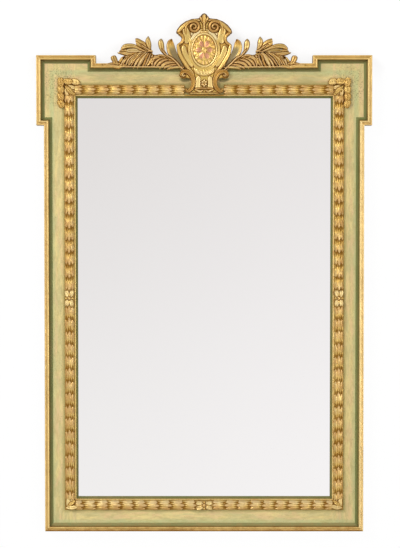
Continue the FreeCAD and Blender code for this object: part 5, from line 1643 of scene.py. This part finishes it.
def painted(name, along):
    """Old flat paint on the frame's face, greener near its mouldings, darker with dirt and painted shade,
    bare wood behind.
    """
    material, graph, shader = new_finish(name)
    at = graph.where()
    paint = graph.group(OLD_PAINT, Place=at, Along=along)
    wood = graph.group(WOOD_GRAIN, Place=at, Along=along)
    far, near, peppered, top_right_shade, shaded = paint_places(graph, at, paint)
    colour = graph.coats(PAINT, [
        (paint["Cloud"], 0.8, SECOND_PAINT),
        (paint["Blush"], 0.6, BLUSH),
        (far, 0.55, FAR_GREEN),
        (near, 0.8, NEAR_DIRT_AND_SHADE),
        (graph.span(paint["Streak"], 0.42, 0.68), 0.42, STREAKS),
        (graph.most(graph.times(paint["Speck"], 0.8), graph.times(peppered, 0.5)), 1.0, SPECKS),
    ])
    # Painted shade at the top and right, and painted shadow under the scrolls
    colour = graph.mix(top_right_shade, colour, TOP_RIGHT_SHADE, "MULTIPLY")
    colour = graph.mix(shaded, colour, SCROLL_SHADE)
    _, turned_back, _ = graph.parts(graph.where("Normal"))
    front = graph.span(turned_back, -0.6, -0.4, 1.0, 0.0)
    colour = graph.mix(front, graph.mix(wood["Pores"], *SAWN_SIDE), colour)
    colour = graph.mix(graph.span(turned_back, 0.4, 0.6), colour, graph.mix(wood["Rings"], *SAWN_BACK))
    graph.give(
        shader,
        Base_Color=colour,
        Roughness=graph.span(paint["Tooth"], 0.2, 0.8, 0.5, 0.75),
        Specular_IOR_Level=0.2,
        Normal=graph.bump(paint["Tooth"], 0.22, 0.0005),
    )
    return material


FRESH_GREEN, HIGHLIGHT_GREEN, GREEN_DIRT_AND_SHADE = rgb(0.20, 0.255, 0.08), rgb(0.34, 0.31, 0.13), rgb(0.12, 0.08, 0.022)


def green_paint(name, base, second, rubbed):
    """Dark green paint of the cove and sight slips, rubbed brown, and greener towards the frame's face."""
    material, graph, shader = new_finish(name)
    hollow, edge, inner = map(graph.mask, ("hollow", "edge", "inner"))
    surface_marks = graph.group(SURFACE_WEAR_AND_SHADE, Place=graph.where(), Hollow=hollow, Edge=edge, Rub=0.35, Glaze=0.6)
    colour = graph.coats(graph.mix(surface_marks["Tone"], base, second), [
        (inner, 0.7, FRESH_GREEN),
        # Painted highlight where the edge mask is
        (edge, 0.7, HIGHLIGHT_GREEN),
        (surface_marks["Worn"], 0.6, rubbed),
        # Dirt and painted shade in the hollows
        (surface_marks["Dirt"], 0.6, GREEN_DIRT_AND_SHADE),
    ])
    graph.give(
        shader,
        Base_Color=colour,
        Roughness=graph.span(surface_marks["Grain"], 0.2, 0.8, 0.45, 0.65),
        Specular_IOR_Level=0.2,
        Normal=graph.bump(surface_marks["Grain"], 0.2, 0.0005),
    )
    return material


def timber(name, along, light, dark, rough):
    """Bare wood with grain along one way."""
    material, graph, shader = new_finish(name)
    wood = graph.group(WOOD_GRAIN, Place=graph.where(), Along=along)
    pores = graph.span(wood["Pores"], 0.55, 0.75, 0.0, 0.4)
    darker = rgb(*(0.5 * part for part in dark[:3]))
    colour = graph.mix(pores, graph.mix(wood["Rings"], light, dark), darker)
    graph.give(shader, Base_Color=colour, Roughness=rough, Normal=graph.bump(wood["Pores"], 0.2, 0.0004))
    return material


def metal(name, colour, dull, rough):
    """Worn steel or iron."""
    material, graph, shader = new_finish(name)
    surface_marks = graph.group(SURFACE_WEAR_AND_SHADE, Place=graph.where(), Rub=0.4, Glaze=0.8)
    graph.give(
        shader,
        Base_Color=graph.coats(colour, [(surface_marks["Worn"], 0.5, dull)]),
        Metallic=0.9,
        Roughness=graph.span(surface_marks["Grain"], 0.2, 0.8, rough, rough + 0.2),
        Normal=graph.bump(surface_marks["Grain"], 0.2, 0.0003),
    )
    return material


def looking_glass(name, light, dark):
    """Silvered glass, very slightly uneven."""
    material, graph, shader = new_finish(name)
    haze = graph.noise(graph.where(), 3.0, 2.0, 0.5)
    colour = graph.mix(haze, light, dark)
    graph.give(shader, Base_Color=colour, Metallic=1.0, Roughness=graph.span(haze, 0.3, 0.7, 0.012, 0.022))
    return material


UPRIGHT, LEVEL = (1.0, 1.0, 0.26), (0.26, 1.0, 1.0)
GOLD = rgb(0.88, 0.595, 0.17), rgb(0.70, 0.42, 0.085), rgb(0.50, 0.22, 0.05), rgb(0.21, 0.085, 0.005)
OLIVE = rgb(0.215, 0.185, 0.060), rgb(0.165, 0.180, 0.052), rgb(0.36, 0.25, 0.09)
CELADON_LEVEL = painted("celadon_level", LEVEL)
SLOT_FINISH = {
    "gilding": gilding("gilding", *GOLD),
    "green_paint": green_paint("olive_green", *OLIVE),
    "celadon_paint": painted("celadon_upright", UPRIGHT),
    "looking_glass": looking_glass("looking_glass", rgb(0.93, 0.925, 0.92), rgb(0.94, 0.94, 0.935)),
    "plywood": timber("plywood", (1.0, 1.0, 0.10), rgb(0.66, 0.46, 0.25), rgb(0.50, 0.31, 0.135), 0.62),
    "bare_wood": timber("bare_wood", (1.0, 1.0, 0.12), rgb(0.56, 0.36, 0.17), rgb(0.38, 0.215, 0.09), 0.6),
    "steel": metal("steel", rgb(0.56, 0.55, 0.53), rgb(0.30, 0.25, 0.20), 0.3),
    "iron": metal("iron", rgb(0.20, 0.18, 0.165), rgb(0.17, 0.09, 0.05), 0.5),
}
LEVEL_NODES = ("rail_top", "rail_bottom", "ear_top_left", "ear_top_right")
NODE_SLOTS = {part["node"]: part["material_slot"] for part in frame["record"]["subparts"]}


def finish_for(thing):
    """The finish of a piece or a CAD node."""
    if thing.name in LEVEL_NODES:
        return CELADON_LEVEL
    return SLOT_FINISH[NODE_SLOTS.get(thing.name) or thing.get("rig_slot")]


for thing in list(bpy.data.objects):
    if thing.type == "MESH":
        thing.data.materials.clear()
        thing.data.materials.append(finish_for(thing))


# Stage, light and camera

def stage_plane(name, corners, material):
    """A flat stage piece."""
    mesh = bpy.data.meshes.new(name)
    mesh.from_pydata(corners, [], [(0, 1, 2, 3)])
    piece = bpy.data.objects.new(name, mesh)
    piece.data.materials.append(material)
    bpy.context.scene.collection.objects.link(piece)


def bare_finish(name):
    """An empty material with no shader in it."""
    material = bpy.data.materials.new(name)
    material.use_nodes = True
    graph = Graph(material.node_tree)
    graph.nodes.clear()
    return material, graph


def choose(graph, share, first, second):
    """One shader where share is 0 and another where it is 1."""
    return graph.node("ShaderNodeMixShader", {0: share, 1: first, 2: second})


WHITE = rgb(1, 1, 1)
FLOOR_GREY = rgb(0.86, 0.86, 0.86)


def wall_finish():
    """A white wall that only the camera sees, and only from the front. The crest's shadow falls on it."""
    material, graph = bare_finish("wall")
    matt = graph.node("ShaderNodeBsdfDiffuse", {"Color": WHITE})
    glow = graph.node("ShaderNodeEmission", {"Color": WHITE})
    clear = graph.node("ShaderNodeBsdfTransparent", {})
    _, _, z = graph.parts(graph.where())
    wall = choose(graph, graph.span(z, 0.06, 0.16, 0.96, 0.72), matt, glow)
    from_front = graph.minus(1.0, graph.node("ShaderNodeNewGeometry", {}, "Backfacing"))
    seen = graph.times(graph.node("ShaderNodeLightPath", {}, "Is Camera Ray"), from_front)
    graph.finish("ShaderNodeOutputMaterial", choose(graph, seen, clear, wall))
    return material


def floor_finish():
    """A pale plain floor that mirrors look past."""
    material, graph = bare_finish("floor")
    matt = graph.node("ShaderNodeBsdfDiffuse", {"Color": FLOOR_GREY})
    clear = graph.node("ShaderNodeBsdfTransparent", {})
    mirrored = graph.node("ShaderNodeLightPath", {}, "Is Glossy Ray")
    graph.finish("ShaderNodeOutputMaterial", choose(graph, mirrored, matt, clear))
    return material


WALL_SPAN = 4.0
WALL_GAP = 0.0006
FLOOR_SPAN = 6
FLOOR_HEIGHT = -1.215


def rectangle(low, high):
    """The corners of a rectangle between two opposite ones, in order."""
    return [low, (high[0], low[1]), high, (low[0], high[1])]


wall_corners = rectangle((-WALL_SPAN, FLOOR_HEIGHT), (WALL_SPAN, WALL_SPAN))
floor_corners = rectangle((-FLOOR_SPAN, -FLOOR_SPAN), (FLOOR_SPAN, FLOOR_SPAN))
stage_plane("wall", [(x, WALL_GAP, z) for x, z in wall_corners], wall_finish())
stage_plane("floor", [(x, y, FLOOR_HEIGHT) for x, y in floor_corners], floor_finish())


LIT_POINT = Vector((0, 0, -0.4))


def area_light(name, spot, size, power):
    """A soft square lamp aimed at the lit point."""
    lamp = bpy.data.lights.new(name, "AREA")
    lamp.shape = "RECTANGLE"
    lamp.size = lamp.size_y = size
    lamp.energy = power
    thing = bpy.data.objects.new(name, lamp)
    bpy.context.scene.collection.objects.link(thing)
    thing.location = spot
    thing.rotation_euler = (LIT_POINT - Vector(spot)).to_track_quat("-Z", "Y").to_euler()


area_light("key", (-3.2, -4.2, 2.4), 2.0, 166)
area_light("fill", (3.0, -4.5, -0.6), 2.6, 88)

# What the mirror and the gilding reflect: each pair is the colour below and the one above
LEFT_OF_GLASS = rgb(0.929, 0.915, 0.915), rgb(0.787, 0.759, 0.755)
RIGHT_OF_GLASS = rgb(0.985, 0.968, 0.975), rgb(0.845, 0.820, 0.820)
WINGS = rgb(0.62, 0.60, 0.58), rgb(0.42, 0.42, 0.43)
SOFT_GREY = rgb(0.50, 0.50, 0.51)


def build_world():
    """White to the camera; soft grey light; and a pale studio in mirrors, brighter towards the floor."""
    world = bpy.data.worlds.new("studio")
    bpy.context.scene.world = world
    world.use_nodes = True
    graph = Graph(world.node_tree)
    graph.nodes.clear()
    x, y, z = graph.parts(graph.where("Generated"))
    rise = graph.span(z, -0.2, 0.12)
    left, right = graph.mix(rise, *LEFT_OF_GLASS), graph.mix(rise, *RIGHT_OF_GLASS)
    glass = graph.mix(graph.span(x, -0.1, 0.1), left, right)
    straight = graph.span(y, -0.97, -0.90, 1.0, 0.0)
    studio = graph.mix(straight, graph.mix(graph.span(z, -0.6, 0.8), *WINGS), glass)
    rays = graph.add("ShaderNodeLightPath").outputs
    shown = graph.most(rays["Is Glossy Ray"], rays["Is Transmission Ray"])
    colour = graph.mix(rays["Is Camera Ray"], graph.mix(shown, SOFT_GREY, studio), WHITE)
    graph.finish("ShaderNodeOutputWorld", graph.node("ShaderNodeBackground", {"Color": colour}))


build_world()

IMAGE_HEIGHT = 548
FOCAL_PIXELS = 1725.3
SENSOR_HEIGHT = 24.0
CAMERA_PLACE = (-0.0096, -4.0, -0.2333)
CAMERA_TILT = 0.03445
camera_data = bpy.data.cameras.new("camera")
camera_data.sensor_fit = "VERTICAL"
camera_data.sensor_height = SENSOR_HEIGHT
camera_data.lens = FOCAL_PIXELS / IMAGE_HEIGHT * SENSOR_HEIGHT
camera_data.clip_end = 50
camera = bpy.data.objects.new("camera", camera_data)
bpy.context.scene.collection.objects.link(camera)
camera.location = CAMERA_PLACE
camera.rotation_euler = (math.pi / 2 - CAMERA_TILT, 0, 0)
bpy.context.scene.camera = camera
bpy.context.scene.view_settings.view_transform = "Standard"
